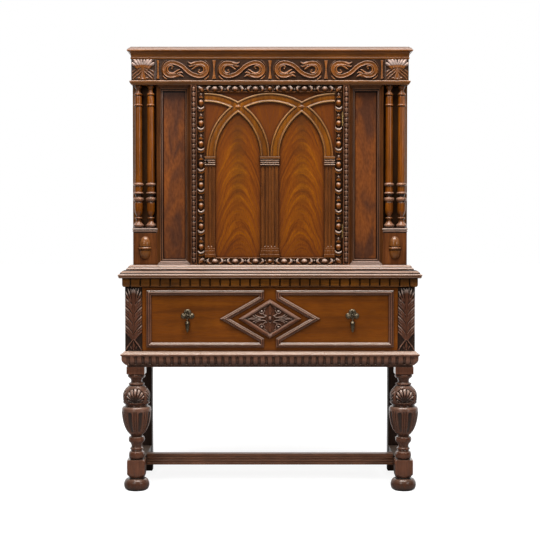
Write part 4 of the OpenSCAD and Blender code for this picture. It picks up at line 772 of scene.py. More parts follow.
def moulded(name, plan, rows):
    """A board with a run moulding on its edge. plan gives the corners and the way each one
    moves with the moulding; a row is (out, z, recess, painted highlight), where recess sets
    the painted shade."""
    made = lofted(name, [([(x + sx * out, y + sy * out, z) for x, y, sx, sy in plan], sunk, highlight)
                         for out, z, sunk, highlight in rows], 25)
    made.data.materials.append(ledge_walnut)
    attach(made, "carcass")
    return made


# every fillet gets a painted highlight on its upper slope and painted shade in the quirk over it
top_rows = [
    (19, 826, 0.8, 0), (21, 828, 0.6, 0), (22.2, 828.6, 0, 0.3), (22.2, 830.6, 0, 0.3), (21, 831, 0.7, 0),
    (21, 832, 0.7, 0), (22.8, 832.5, 0, 0), (23.3, 835.8, 0, 0), (23.8, 836.6, 0, 0.34), (24, 839, 0, 0.36),
    (22.6, 841.4, 0, 0.36), (18.4, 843, 0, 0.28), (17, 843.4, 1, 0), (16, 847.2, 1, 0),
    (15.4, 847.6, 0, 0.24), (12.6, 850, 0, 0.26), (9, 853.4, 0, 0.2), (7.4, 854, 1, 0), (2, 857, 1, 0)]
made = moulded("stand_top_board", [(-END_X, -FRONT_Y, -1, -1), (END_X, -FRONT_Y, 1, -1),
                                   (END_X, REAR_Y, 1, 0), (-END_X, REAR_Y, -1, 0)], top_rows)
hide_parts("stand_top")
# the same for the upper case's base: painted highlight on the upper slopes, painted shade in the quirks
base_rows = [
    (20, 857.1, 1, 0), (20, 860.2, 1, 0), (19.4, 860.6, 0, 0.12), (19, 862, 0, 0.14), (15.2, 866, 0, 0.12),
    (14, 866.4, 0.9, 0), (13, 868.2, 0.9, 0), (12.4, 868.6, 0, 0.12), (11, 872, 0, 0.14),
    (7.6, 875.4, 0, 0.1), (5, 876.2, 0.4, 0), (3, 877, 0.1, 0)]
half_plan = [(536, REAR_Y, 1, 0), (536, -186, 1, -1), (443, -186, -1, -1), (443, -172, -1, -1),
             (303, -172, 1, -1), (303, -186, 1, -1)]
base_plan = [(-x, y, -sx, sy) for x, y, sx, sy in half_plan] + half_plan[::-1]
made = moulded("upper_base_board", base_plan, base_rows)
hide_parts("upper_base")


# Upper case. Stained walnut sides, head board and cornice, with plain boards for the back and
# for the shelf on its cleats, glued up and set back from the edge of the stand's top.

side_walnut = stained_wood(
    "side_walnut", (0.08, 0.029, 0.006), (0.15, 0.053, 0.01), (0.22, 0.08, 0.016), sheen=0.6, coat=0.05)
head_walnut = stained_wood(
    "head_walnut", (0.1, 0.034, 0.007), (0.19, 0.064, 0.012), (0.26, 0.092, 0.02), grain="X", rub_and_highlight=0.5,
    sheen=0.3, contrast=0.5, hollow_shade=0.8, top_light=0.6)
cornice_walnut = stained_wood(
    "cornice_walnut", (0.1, 0.032, 0.006), (0.185, 0.058, 0.01), (0.26, 0.088, 0.018), grain="X",
    rub_and_highlight=0.35, sheen=0.3, contrast=0.5, hollow_shade=0.8, top_light=0.95, coat=0.3, top_light_tint=(0.12, 0.086, 0.072))
# darker walnut for the niche, with painted shade that reaches 32 mm: it stands in shade behind the columns
shaded_niche_walnut = stained_wood(
    "shaded_niche_walnut", (0.05, 0.018, 0.004), (0.09, 0.03, 0.006), (0.13, 0.045, 0.01), sheen=0.6,
    coat=0.05, rub_and_highlight=0, hollow_shade=0.8, shade_reach=32)
finish_nodes(side_walnut, "upper_side_left", "upper_side_right")
finish_nodes(inside_long, "upper_back", "shelf")
finish_nodes(inside_deep, "shelf_cleats")
finish_nodes(case_walnut_long, "frieze_boards", "top_board")
finish_nodes(cornice_walnut, "cornice")
finish_nodes(head_walnut, "head_board")
finish_nodes(shaded_niche_walnut, "niche_boards")


# Frieze. A long walnut board carved in relief: four S scrolls in mirrored pairs with flame
# tips, hourglass dividers between them, and an acanthus block at each end.

def smooth_line(points, step=2.0):
    """A soft line through all the points."""
    p = np.array([points[0], *points, points[-1]], float)
    line = []
    for a, b, c, d in zip(p[:-3], p[1:-2], p[2:-1], p[3:]):
        n = max(2, math.ceil(np.linalg.norm(c - b) / step))
        for t in np.arange(n) / n:
            line.append(0.5 * (2 * b + (c - a) * t + (2 * a - 5 * b + 4 * c - d) * t ** 2
                               + (3 * b - a - 3 * c + d) * t ** 3))
    return [*line, p[-2]]


def cord_ridge(x, z, points, half, tall, ends):
    """A rounded ridge along a soft line, thinner towards the ends whose shares are given."""
    gap, run, _, whole = line_field(x, z, smooth_line(points))
    t = run / whole
    thin = np.minimum(1, np.minimum(t / ends[0], (1 - t) / ends[1]))
    return tall * arched(gap / (half * np.sqrt(np.clip(thin, 0.02, 1))))


SCROLL_PITCH, FRIEZE_Z, FRIEZE_H = 217, 1591, 80
# the middle of each end block, and the groove that parts it from the scrolls
BLOCK_X, BLOCK_EDGE, FRIEZE_END = 491, 444, 536
half_scroll = [(0, 0), (11, -10), (27, -19.5), (50, -26), (70, -21.5), (82, -7), (80.5, 11), (66, 23.5),
               (46, 24), (31, 19), (20, 15)]
whole_scroll = smooth_line([(-x, -z) for x, z in half_scroll[:0:-1]] + half_scroll)
# a second strand springs inside the spiral and ends in a drop
inner_strand = [(22, 0), (30, 3.5), (40, 11), (54, 15.5), (67, 10), (70.5, -3), (63, -13), (52, -13),
                (47.5, -6)]
# line, width and height of the two flame tips
flames = (([(50, 28), (34, 26), (21, 22), (8, 29)], 5.4, 8.4),
          ([(40, 20), (28, 14), (18, 11), (10, 15)], 4.8, 8.0))


def scroll_relief(x, z):
    """One S scroll about its own middle."""
    gap, run, _, whole = line_field(x, z, whole_scroll)
    t = run / whole
    u = gap / (8.2 * np.clip(np.minimum(t, 1 - t) / 0.06, 0.3, 1))
    rails = 8.8 * arched((u - 0.72) / 0.28)
    hollow = 5.6 + 0.8 * np.cos(u * math.pi / 1.4)
    out = np.where(u < 1, np.maximum(rails, hollow * (u < 0.72)), 0)
    for s in (-1, 1):
        p, q = s * x, s * z
        out = np.maximum(out, cord_ridge(p, q, inner_strand, 4.3, 8.0, (0.12, 0.1)))
        out = np.maximum(out, pearl(p - 53, q + 3.5, 16, 7.4))
        for path, wide, tall in flames:
            out = np.maximum(out, lobe(p, q, smooth_line(path), wide, tall, False, 0.5))
        # a fine line round the outside of the spiral, and a bright crescent on it
        a = np.degrees(np.arctan2(q + 1, p - 54))
        r = np.hypot(q + 1, p - 54)
        out = np.maximum(out, np.where(np.abs(a) < 62, 4.4 * arched((r - 39.6) / 1.5), 0))
        swing = np.abs((a + 50 * s + 180) % 360 - 180)
        wide = 3.2 * arched(swing / 17)
        crescent = 7.0 * arched((r - 42.5) / np.maximum(wide, 0.05))
        out = np.maximum(out, np.where(wide > 0.1, crescent, 0))
    return out


# height and line of the strands that sweep from the block's waist to its lower corners, and
# line and width of the fingers over them
strands = ((6.0, [(4, 34), (13, 25), (27, 14), (38, 2)]), (5.8, [(7, 43), (18, 34), (31, 24), (42, 13)]),
           (5.2, [(10, 51), (21, 44), (33, 36), (42, 28)]))
fingers = (([(2, 34), (3.5, 56), (7, 80)], 4.8), ([(5, 32), (10, 56), (21, 81)], 6.2),
           ([(8, 30), (18, 54), (35, 80)], 6.6), ([(11, 28), (24, 48), (44, 66)], 6.8))


def block_relief(x, z):
    """The acanthus block about its own middle, z from its foot."""
    side = np.abs(x)
    out = 2.0 + 0 * x
    # the body, waisted like a vase
    half = np.interp(z, [0, 12, 30, 46, 58, 80], [16, 12, 6.5, 9, 16, 24])
    body = 4.6 * arched(side / half) + 0.8
    out = np.maximum(out, body - 1.3 * soft(side, 1.3) * (z > 30))
    for tall, path in strands:
        out = np.maximum(out, cord_ridge(side, z, path, 2.5, tall - 0.9, (0.1, 0.08)))
    out = np.maximum(out, 4.8 * np.sqrt(np.clip(1 - ((side - 16) / 6) ** 2 - ((z - 7) / 4.5) ** 2, 0, 1)))
    # broad fingers that fan out to the head, with a fine cut between them, and roll over at
    # their tips
    fan = np.zeros(x.shape)
    for path, wide in fingers:
        fan = np.maximum(fan, lobe(side, z, smooth_line(path), wide, 6.6, False, 0.12, 0.55, 0.3))
    roll = 1 + 0.34 * np.sin(np.clip((z + 0.2 * side - 58) / 24, 0, 1) * math.pi)
    out = np.where(z + 0.35 * side > 50, np.maximum(1.2, fan * roll), np.maximum(out, 0.7 * fan))
    return np.maximum(out, pearl(side, z - 4.5, 18, 8))


def frieze_relief(x, z):
    up = z - FRIEZE_Z
    mid = up - FRIEZE_H / 2
    # the ground is rough from the chisel
    out = 0.5 + 0.35 * np.sin(x * 1.9 + 2 * np.sin(z * 0.7)) * np.sin(z * 2.3 + 1.5 * np.sin(x * 0.9))
    for flip, middle in ((1, -1.5), (-1, -0.5), (1, 0.5), (-1, 1.5)):
        p = x - middle * SCROLL_PITCH
        scroll = scroll_relief(flip * p, mid)
        out = np.where(np.abs(p) < SCROLL_PITCH / 2, np.maximum(out, scroll), out)
    for k in range(-2, 3):
        p = np.abs(x - k * (SCROLL_PITCH - 1))
        spread = 3.4 if abs(k) == 2 else 5.6
        half = 1.9 + spread * (np.abs(mid) / 36) ** 1.1
        waisted = 7.4 - 1.6 * (p / half) ** 2
        out = np.where((p < half) & (np.abs(mid) < 36), np.maximum(out, waisted), out)
        out = np.maximum(out, pearl(p, mid, 10, 8.8))
    side = np.abs(x)
    leaf = block_relief(side - BLOCK_X, up)
    post = np.where(side > BLOCK_EDGE, np.maximum(1.0, leaf), out)
    groove = 1 - 0.9 * soft(side - BLOCK_EDGE, 2.2)
    fade = tread(up, 0, 1.6) * tread(FRIEZE_H - up, 0, 1.6) * tread(FRIEZE_END - side, 0, 1.5)
    return np.clip(post * groove * fade, 0.15, 10.5)


# painted highlight on the heads, pearls and strands of the end blocks, and faintly on the scroll rails
def frieze_worn(x, z, out):
    side, up = np.abs(x), z - FRIEZE_Z
    leaf = np.abs(side - BLOCK_X)
    on_block = side > BLOCK_EDGE + 3
    block = on_block * tread(up + 0.1 * leaf, 56, 62) * tread(out, 2.6, 4.8)
    block = np.maximum(block, on_block * tread(out, 6.4, 7.6) * (up < 12))
    block = np.maximum(block, 0.14 * on_block * tread(out, 4.4, 5.8) * (up < 36) * (leaf > 14))
    rails = (side < BLOCK_EDGE) * tread(out, 7.6, 8.8) * tread(up, 20, 64) * 0.11
    return np.clip(0.6 * block + rails, 0, 1)


carved_frieze = stained_wood(
    "carved_frieze", (0.11, 0.034, 0.006), (0.21, 0.064, 0.009), (0.29, 0.094, 0.015), grain="X",
    hollow_shade=0.94, rub_and_highlight=0.35, soften=0, shade_reach=9, ground=0.88, contrast=0.7, top_light=0.35,
    highlight=(0.54, 0.46, 0.43))
frieze = carved("frieze_relief", -FRIEZE_END, FRIEZE_END, FRIEZE_Z + 0.05, FRIEZE_Z + FRIEZE_H - 0.05, 1.2,
                frieze_relief, -185, -184.2, 70, full=8.2, worn=frieze_worn)
frieze.data.materials.append(carved_frieze)
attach(frieze, "carcass")
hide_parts("frieze_carving")


# Plinths and bosses. Veneered blocks beside the niche under a moulded cap, each with a
# glued-on split acorn, turned in one with its mate and sawn down the middle.

BAY_OUT, PLINTH_OUT, PLINTH_Y, NICHE_Y = 439.0, 531.0, -180.0, -138.0
BASE_TOP, CAP_Z, PLINTH_TOP = 877.0, 1006.0, 1020.0
plinth_walnut = stained_wood(
    "plinth_walnut", (0.055, 0.016, 0.005), (0.115, 0.033, 0.008), (0.18, 0.055, 0.014), hollow_shade=0.75,
    sheen=0.3, ground=0.9, soften=0, rub_and_highlight=0, top_light=0.6)
# out, height over the cap's foot, recess and painted highlight: a neck, a small fillet, a
# quirk and the rounded nosing, with painted shade in the quirks and a painted highlight on
# the fillet and the nosing
cap_rows = [
    (0, BASE_TOP - CAP_Z, 0, 0), (0, -5.4, 0, 0), (-1.2, -5, 1, 0), (-1.2, -1.6, 1, 0), (1, -1, 0, 0.3),
    (1.9, 0.6, 0, 0.3), (1.7, 3.8, 0, 0.3), (0.2, 4.8, 1, 0), (0.2, 6.8, 1, 0), (2.2, 7.4, 0, 0.8),
    (2.9, 9, 0, 0.8), (2.9, 10.6, 0, 0.8), (2.2, 12.2, 0, 0.8), (1.2, 12.8, 0.6, 0),
    (1.0, PLINTH_TOP - CAP_Z, 0.6, 0)]
for side, s in (("left", -1), ("right", 1)):
    x0, x1 = sorted((s * BAY_OUT, s * PLINTH_OUT))
    made = stack(f"plinth_block_{side}", x0, x1, NICHE_Y,
                 [(-out, PLINTH_Y - out, CAP_Z + high, sunk, highlight) for out, high, sunk, highlight in cap_rows])
    made.data.materials.append(plinth_walnut)
    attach(made, "carcass")
    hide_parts(f"plinth_{side}")
boss_walnut = stained_wood(
    "boss_walnut", (0.08, 0.026, 0.005), (0.16, 0.052, 0.009), (0.23, 0.08, 0.02), figure=50, soften=0,
    rub_and_highlight=0, sheen=0.2, top_light=0.12, coat=0.5)
finish_nodes(boss_walnut, "plinth_bosses")


# Columns. Two slender turned columns a side, warm stained, with a vase foot and thin rings
# that stand over cut grooves, between the plinth and the head board.

COLUMN_X, COLUMN_Y, COLUMN_PITCH = 487.5, -161.5, 48.5
column_walnut = stained_wood(
    "column_walnut", (0.09, 0.024, 0.002), (0.19, 0.05, 0.003), (0.28, 0.082, 0.005), figure=60,
    soften=0, rub_and_highlight=0, sheen=0.24, hollow_shade=0.8, ground=0.95, top_light=0.25, coat=0.5)


def ring(r, low, high, out):
    """A rounded ring that stands out from r, over a cut groove."""
    return [(r - 2.4, low - 1.6, 1), (r - 2.2, low - 0.4, 1), *marked(swell((r, low), (r, high), out, 8))]


# a row is radius, height and recess, which sets painted shade in the grooves, round the foot
# and towards the head
column_rows = [
    (15.5, 0, 1), (17, 0.6, 0.8), (17, 4, 0.8), *marked(swell((17.6, 5), (17.6, 15), 2.7, 8)),
    *marked(bow((17.4, 15.6), (16, 19), (10.6, 20.5), (9.6, 27), 8), 0.3), (9.6, 31, 0.3), (10.4, 33.8, 0.6),
    *ring(12.4, 35.8, 41.4, 2.2), (8, 42.6, 0.9), (7.6, 45, 0.6), (8, 47.4, 0.2),
    *marked(bow((8.4, 48.5), (11.5, 53), (13, 56), (13.6, 59), 6)),
    *marked(bow((14, 60), (15.6, 63), (16.2, 72), (16, 97), 8)), (15, 98.6, 0.3), (14, 99.6, 1),
    (14, 102.4, 1), (17.4, 103.4, 0.2), (18, 105.4, 0), *marked(swell((18.2, 106.6), (18, 117.4), 2.4, 8)),
    *marked(bow((15.4, 118.4), (11.6, 118.6), (10.7, 120), (10.7, 122), 5), 0.3), (12.4, 124.6, 1),
    (12.6, 129.4, 1), *ring(17.2, 131.8, 138.8, 2.8), (15.6, 140, 0), (15.4, 160.4, 0),
    *ring(17.4, 164.2, 173.4, 2.8), (14.9, 175, 0.5), (14.7, 177, 0), (13.6, 468, 0), (13.6, 470, 0),
    *ring(14.8, 472.4, 479, 2.2), (13.7, 480.4, 0), (13.6, 510.4, 0), *ring(13.9, 513.8, 520.6, 2.1),
    *marked(bow((13.6, 521.4), (12.4, 523), (9.4, 524), (8, 531), 6), 0.25), (8, 536, 0.4),
    *marked(bow((8.4, 538), (10.6, 540), (13, 543.5), (13.6, 547.5), 6), 0.45), (13.6, 552.4, 0.6),
    (12, 553, 0.8)]


def column(x):
    line = []
    for r, z, sunk in column_rows:
        if line and z - line[-1][1] > 8:
            r0, z0, s0 = line[-1]
            # close rows at both ends keep a straight length straight in the light
            for k in (0.8 / (z - z0), 0.2, 0.4, 0.6, 0.8, 1 - 0.8 / (z - z0)):
                line.append((r0 + (r - r0) * k, z0 + (z - z0) * k, s0 + (sunk - s0) * k))
        line.append((r, z, sunk))
    rows = np.array(line)
    # painted highlight on the widest rings
    highlight = tread(rows[:, 0], 16.4, 19) * (rows[:, 2] < 0.5)
    spread = np.ones((1, 40))
    return turning("column", rows[:, 0:1] * spread, rows[:, 1], (x, COLUMN_Y, PLINTH_TOP),
                   rows[:, 2:3] * spread, 0.2 * highlight[:, None] * spread)


for side, s in (("left", -1), ("right", 1)):
    pair = [column(s * COLUMN_X + t * COLUMN_PITCH / 2) for t in (-1, 1)]
    made = joined(f"turned_columns_{side}", pair, column_walnut)
    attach(made, "carcass")
    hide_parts(f"columns_{side}")


# Bays. Mottled panels beside the door, each in a mitred walnut frame whose small mouldings
# step back to the panel all round and form its sill below.

BAY_IN, HEAD_Z = 307.0, 1573.0


def mottled(name, dark, warm, edge):
    """Burl veneer, dark and purplish in the middle of the sheet and warmer towards its sides,
    with painted shade along its frame and towards its head, and a little darker at its foot.
    """
    material, tree, place = blank(name)
    x, _, z = add(tree, "ShaderNodeSeparateXYZ", {0: place}).outputs
    # how far a point lies from the middle line of its panel
    off = sums(tree, "SUBTRACT", sums(tree, "ABSOLUTE", x), (BAY_IN + BAY_OUT) / 2000)
    off = sums(tree, "ABSOLUTE", off)
    run = add(tree, "ShaderNodeMapping", {"Vector": place, "Scale": (1, 1, 0.38)}).outputs[0]
    wave = noise(tree, run, 19, 4, Roughness=0.5, Distortion=0.8)
    fine = noise(tree, run, 160, 5)
    spread = span(tree, off, 0.01, 0.052, -0.03, 0.13)
    # darker towards the head, as painted shade under it, and a little darker towards the foot
    ends = sums(tree, "ADD", span(tree, z, 1.556, 1.515, -0.24, 0.0), span(tree, z, 0.95, 1.1, -0.1, 0.0))
    mix = sums(tree, "ADD", sums(tree, "ADD", wave, spread), ends)
    middle = tuple((a + b) / 2 for a, b in zip(dark, warm))
    colour = ramp(tree, mix, (0.34, dark), (0.5, middle), (0.68, warm))
    tone = ramp(tree, fine, (0.35, (0.8, 0.8, 0.8)), (0.65, (1.15, 1.15, 1.15)))
    colour = blend_of(tree, 1, colour, tone, "MULTIPLY")
    # painted shade in the corner between the panel and its frame, and painted shadow lines along
    # its sides and under its head
    deep = hollows(tree, 0.007, 0.55, 0.97, 1.0, 6)
    rim = span(tree, off, 0.0405, 0.0418, 0, 1)
    over = span(tree, z, 1.5455, 1.5475, 0, 1)
    colour = blend_of(tree, sums(tree, "MAXIMUM", deep, sums(tree, "MAXIMUM", rim, over)), colour, edge)
    polished(tree, {"Base Color": colour, "Roughness": 0.3, "Specular IOR Level": 0.15,
                    "Coat Weight": 0.3, "Coat Roughness": 0.16})
    return material


bay_frame_walnut = stained_wood(
    "bay_frame_walnut", (0.055, 0.018, 0.005), (0.12, 0.037, 0.008), (0.18, 0.06, 0.014), hollow_shade=0.9,
    shade_reach=7, rub_and_highlight=0, soften=0, coat=0.3, ground=0.95, top_light=0.7, top_light_tint=(0.19, 0.125, 0.1))
finish_nodes(bay_frame_walnut, "stile_left", "stile_right")
# inset from the outer edge, place of the face, recess and painted highlight: painted shade
# in the quirks and a faint painted highlight on the fillets
frame_rows = [
    (0, -150.9, 0.4, 0), (0, -178.6, 0.2, 0), (0.6, -179.2, 0, 0), (3.4, -176.4, 0, 0), (3.8, -175.4, 0.9, 0),
    (5, -174.2, 0.9, 0), (5.4, -174.6, 0, 0), (8, -172, 0, 0), (8.4, -171, 0.9, 0), (9.6, -169.8, 0.9, 0),
    (10, -170, 0, 0), (13, -166.8, 0, 0.06), (14.2, -165.6, 0, 0.06), (14.6, -160, 0.8, 0),
    (16.6, -159.6, 0.8, 0), (17, -162, 0, 0.08), (18.6, -162.6, 0, 0.1), (20.8, -161.6, 0, 0.08),
    (21.2, -160, 0.6, 0), (21.6, -153, 0.9, 0), (22, -150.9, 1, 0)]
for side, s in (("left", -1), ("right", 1)):
    x0, x1 = sorted((s * (BAY_IN + 0.5), s * (BAY_OUT - 0.2)))
    z0, z1 = BASE_TOP + 0.05, HEAD_Z - 0.05
    made = lofted(f"moulded_frame_{side}", [
        ([(x0 + inset, y, z0 + inset), (x1 - inset, y, z0 + inset), (x1 - inset, y, z1 - inset),
          (x0 + inset, y, z1 - inset)], sunk, highlight) for inset, y, sunk, highlight in frame_rows], 25, closed=True)
    made.data.materials.append(bay_frame_walnut)
    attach(made, "carcass")
    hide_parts(f"bay_frame_{side}")
burl = mottled("burl_veneer", (0.075, 0.026, 0.012), (0.21, 0.058, 0.011), (0.006, 0.002, 0.001))
finish_nodes(burl, "bay_panels")
inside_tall = plain_wood("inside_wood_tall", (0.15, 0.08, 0.04), (0.32, 0.19, 0.1), "Z")
finish_nodes(inside_tall, "door_stops")


# Beaded strips. A walnut fillet down each side of the door with a string of turned beads,
# a small drilled hollow on each side of every joint.

STRIP_MID, STRIP_HALF, STRIP_FACE = 295.25, 11.7, -183
BEAD_Z, BEAD_PITCH, BEADS = 885.0, 20.0, 34
strip_walnut = stained_wood(
    "strip_walnut", (0.05, 0.018, 0.008), (0.11, 0.037, 0.014), (0.18, 0.062, 0.024), hollow_shade=0.92,
    rub_and_highlight=0.2, soften=0, shade_reach=6, ground=0.95, top_light=0.3, highlight=(0.5, 0.37, 0.27))


def bead_relief(x, z):
    side, off = np.abs(x), np.abs(z)
    bed = np.maximum(2.0, 6.1 * arched((side - 9.9) / 1.9))
    bead = 7.3 * np.clip(1 - (side / 6.0) ** 2 - (off / 11.5) ** 4, 0, 1) ** 0.42
    hollow = np.exp(-((side - 4.4) ** 2 + (off - 10) ** 2) / 7.0)
    return np.clip(np.maximum(bed, bead) - 5.2 * hollow, 0.2, 7.35)


# painted highlight on the crests of the beads and of the fillets beside them
def bead_worn(x, z, out):
    return 0.13 * tread(out, 5.0, 7.0) * (np.abs(x) < 5) + 0.08 * tread(out, 4.8, 6) * (np.abs(x) > 7)


bead_unit = carved("bead_unit", -STRIP_HALF, STRIP_HALF, -BEAD_PITCH / 2, BEAD_PITCH / 2, 0.9,
                   bead_relief, 0, 0.4, full=4.4, worn=bead_worn)
runs = [row(bead_unit, BEADS, BEAD_PITCH, (s * STRIP_MID, STRIP_FACE, BEAD_Z + BEAD_PITCH / 2), strip_walnut,
            (0, 0, 1)) for s in (-1, 1)]
for middle in (-STRIP_MID, STRIP_MID):
    for low, high in ((877.1, BEAD_Z), (BEAD_Z + BEADS * BEAD_PITCH, 1572.9)):
        runs.append(carved("strip_end", middle - STRIP_HALF, middle + STRIP_HALF, low, high, 1.5,
                           lambda x, z: 2.6 + 3.5 * arched((np.abs(x - middle) - 9.3) / 2.6),
                           STRIP_FACE, STRIP_FACE + 0.4))
strips = joined("bead_strings", runs, strip_walnut)
drop(bead_unit)
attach(strips, "carcass")
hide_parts("beaded_strips")


# Door board. One veneered board: crotch mahogany in the two lancets, with its plume up the
# middle of each, and plainer reddish wood in the spandrels.

DOOR_X = -0.75


def crotch_veneer(name):
    """Flame figure: feathered streaks that rise to the middle line of each lancet and turn over."""
    material, tree, place = blank(name)
    x, _, z = add(tree, "ShaderNodeSeparateXYZ", {0: place}).outputs

    def times(value, by):
        return sums(tree, "MULTIPLY", value, by)

    # distance from the middle line of the nearer lancet, which wanders a little
    off = sums(tree, "SUBTRACT", sums(tree, "ABSOLUTE", sums(tree, "ADD", x, -DOOR_X / 1000)), 0.1235)
    wander = noise(tree, place, 5.5, 3)
    off = sums(tree, "ADD", off, times(sums(tree, "SUBTRACT", wander, 0.5), 0.05))
    away = sums(tree, "ABSOLUTE", off)
    level = sums(tree, "ADD", z, times(times(off, off), 22))
    feather = noise(tree, vector(tree, times(off, 5), 0.0, times(level, 26)), 1.7, 6, Roughness=0.6,
                    Distortion=0.7)
    hair = noise(tree, vector(tree, times(off, 60), 0.0, times(level, 10)), 6, 4)
    cloud = noise(tree, place, 8, 4)
    warm = ramp(tree, feather, (0.28, (0.075, 0.019, 0.003)), (0.47, (0.175, 0.042, 0.003)),
                (0.66, (0.27, 0.078, 0.004)))
    # the plume: darker and greener along the middle line, strongest near the head
    near = span(tree, away, 0.0, 0.04, 1, 0, interpolation_type="SMOOTHSTEP")
    plume = times(times(near, span(tree, z, 1.02, 1.46, 0.12, 0.75)), cloud)
    warm = blend_of(tree, sums(tree, "MULTIPLY", plume, 1.35, clamp=True), warm, (0.062, 0.028, 0.006))
    # the sides, the head and the foot of each lancet are darker and redder
    far = span(tree, away, 0.045, 0.1, 0, 0.72, interpolation_type="SMOOTHSTEP")
    head = span(tree, z, 1.3, 1.46, 0, 0.55)
    foot = span(tree, z, 0.91, 1.0, 0.5, 0)
    dull = sums(tree, "MAXIMUM", far, sums(tree, "MAXIMUM", head, foot))
    colour = blend_of(tree, dull, warm, (0.11, 0.028, 0.006))
    streak = ramp(tree, hair, (0.35, (0.82, 0.82, 0.82)), (0.65, (1.12, 1.12, 1.12)))
    colour = blend_of(tree, 1, colour, streak, "MULTIPLY")
    # painted shade in the hollows beside the frame and the arches
    colour = blend_of(tree, hollows(tree, 0.014, 0.4, 0.95, 0.85), colour, (0.014, 0.006, 0.003))
    normal = add(tree, "ShaderNodeBump", {"Height": hair, "Strength": 0.08, "Distance": 0.0004}).outputs[0]
    polished(tree, {"Base Color": colour, "Roughness": span(tree, feather, 0.3, 0.7, 0.33, 0.24),
                    "Normal": normal, "Specular IOR Level": 0.15, "Coat Weight": 0.35,
                    "Coat Roughness": 0.16})
    return material


finish_nodes(crotch_veneer("crotch_veneer"), "door_board")


# Egg-and-dart frame. Four mitred lengths of carved moulding glued round the door's face:
# eggs in crescent cups on the uprights, and eggs between leaves on the head and foot.

FRAME_W, SIDE_TILE, HEAD_TILE, FACE = 27.0, 79.8, 78.9, -167.0
DOOR_L, DOOR_R, DOOR_Z, DOOR_TOP, FIELD_Z = -280.5, 279.0, 878.5, 1571.0, 905.5
# how far the middle of an egg lies from the moulding's outer edge
SIDE_MID, HEAD_MID = 12.9, 12.0


def frame_section(u):
    """Height of the moulding across its width, from the outer edge inwards."""
    return np.interp(u, [0, 1, 2.2, 3.0, 23.2, 24.0, 25.2, 26, 27], [9, 12, 12, 7, 7, 10.5, 10.5, 5, 4])


def dome(x, z, rx, rz, base, tall):
    """An egg on a base, and far below everything outside it."""
    spread = (x / rx) ** 2 + (z / rz) ** 2
    return base + tall * np.sqrt(np.clip(1 - (x / rx) ** 2 - (z / rz) ** 2, 0, 1)) - 99 * (spread > 1)


def nearest(v):
    """A place along an upright, from the middle of the nearest egg."""
    return (v + SIDE_TILE / 2) % SIDE_TILE - SIDE_TILE / 2


def side_cup(x, v):
    """Where the crescent under an egg is, and how far across it a point lies."""
    inner, outer = np.hypot(x, v - 5), np.hypot(x, v - 13)
    across = np.clip((inner - 14.2) / np.maximum(inner - 14.2 + 13.4 - outer, 0.1), 0, 1)
    return (inner > 14.2) & (outer < 13.4) & (v > 13), across


def side_star(x, v):
    """Over 0 in the star between two eggs."""
    return 4.6 - np.abs(x) - 0.8 * np.abs(nearest(v + 33.5))


def side_tile(u, v):
    """One egg with its cup, leaf, star and the cap of the next egg. v runs down from the egg."""
    x, v = u - SIDE_MID, nearest(v)
    out = np.where(np.abs(x) < 11.4, 5.0, frame_section(u))
    # the crescent under the egg, and a leaf under the crescent
    cup, across = side_cup(x, v)
    out = np.where(cup, 10.5 + 4.8 * arched(2 * across - 1), out)
    leaf = (np.hypot(x, v - 13) > 14.0) & (np.hypot(x, v - 17.5) < 16.8) & (v > 17)
    out = np.where(leaf, 12.2 - 2.2 * np.abs(x) / 12 - 1.6 * soft(x, 0.9), out)
    # the cap over the egg, and the star between them
    cap = (v < -18.6 - 0.012 * x * x) & (v > -30.4 + 1.05 * np.abs(x)) & (np.abs(x) < 10.8)
    out = np.where(cap, 12.8 - 1.4 * soft(x, 0.9), out)
    star = side_star(x, v)
    out = np.where(star > 0, 9 + 1.1 * star, out)
    return np.maximum(out, dome(x, v, 10.2, 12.0, 5.5, 13.9))


# painted highlight on the crescents, the tops of the eggs and the stars
def side_worn(u, v, out):
    x, v = u - SIDE_MID, nearest(v)
    cup, _ = side_cup(x, v)
    top = tread(-v, 4, 9) * (np.hypot(x / 10.2, v / 12) < 0.97) * (out > 8)
    return np.clip(0.95 * cup * tread(out, 11, 13) + 0.4 * top + 0.6 * (side_star(x, v) > 0), 0, 1)


def petal_of(x, v):
    """The crescent beside an egg on the head and foot: over 0 inside it. x runs in from the
    edge, and the horn towards the edge is the thicker one."""
    arm = np.abs(v)
    outer, inner = 11.2 - np.hypot(x, arm - 22), np.hypot(x - 3.4, arm - 13.4) - 10.4
    return np.minimum(outer, inner) / 3.2


def head_star(x, v):
    """Over 0 in the star at each end of the tile."""
    return 4.8 - np.abs(x - 2.5) - (HEAD_TILE / 2 - np.abs(v))


def head_tile(u, v):
    """One egg between two leaves, with a star at the end of the tile. v runs along the moulding."""
    x = u - HEAD_MID
    out = np.where(np.abs(x) < 10.8, 5.0, frame_section(u))
    leaf = petal_of(x, v)
    out = np.where(leaf > 0, 9.5 + 6.4 * np.sqrt(1 - (1 - np.clip(leaf, 0, 1)) ** 2), out)
    star = head_star(x, v)
    out = np.where(star > 0, np.maximum(out, 9.5 + 1.2 * star), out)
    return np.maximum(out, dome(x, v, 10.2, 11.0, 5.5, 13.9))


def head_worn(u, v, out, up):
    """Painted highlight on the crescents and the eggs, on their side towards the edge that looks
    up, and on the stars. up is -1 where the outer edge looks up, and 1 where the inner edge does.
    """
    x = u - HEAD_MID
    egg = 1 - (x / 10.2) ** 2 - (v / 11.0) ** 2
    highlight = 0.95 * (petal_of(x, v) > 0) + 0.6 * (egg > 0.03)
    return np.clip(tread(up * x, -6, 3) * highlight + 0.6 * (head_star(x, v) > 0), 0, 1)


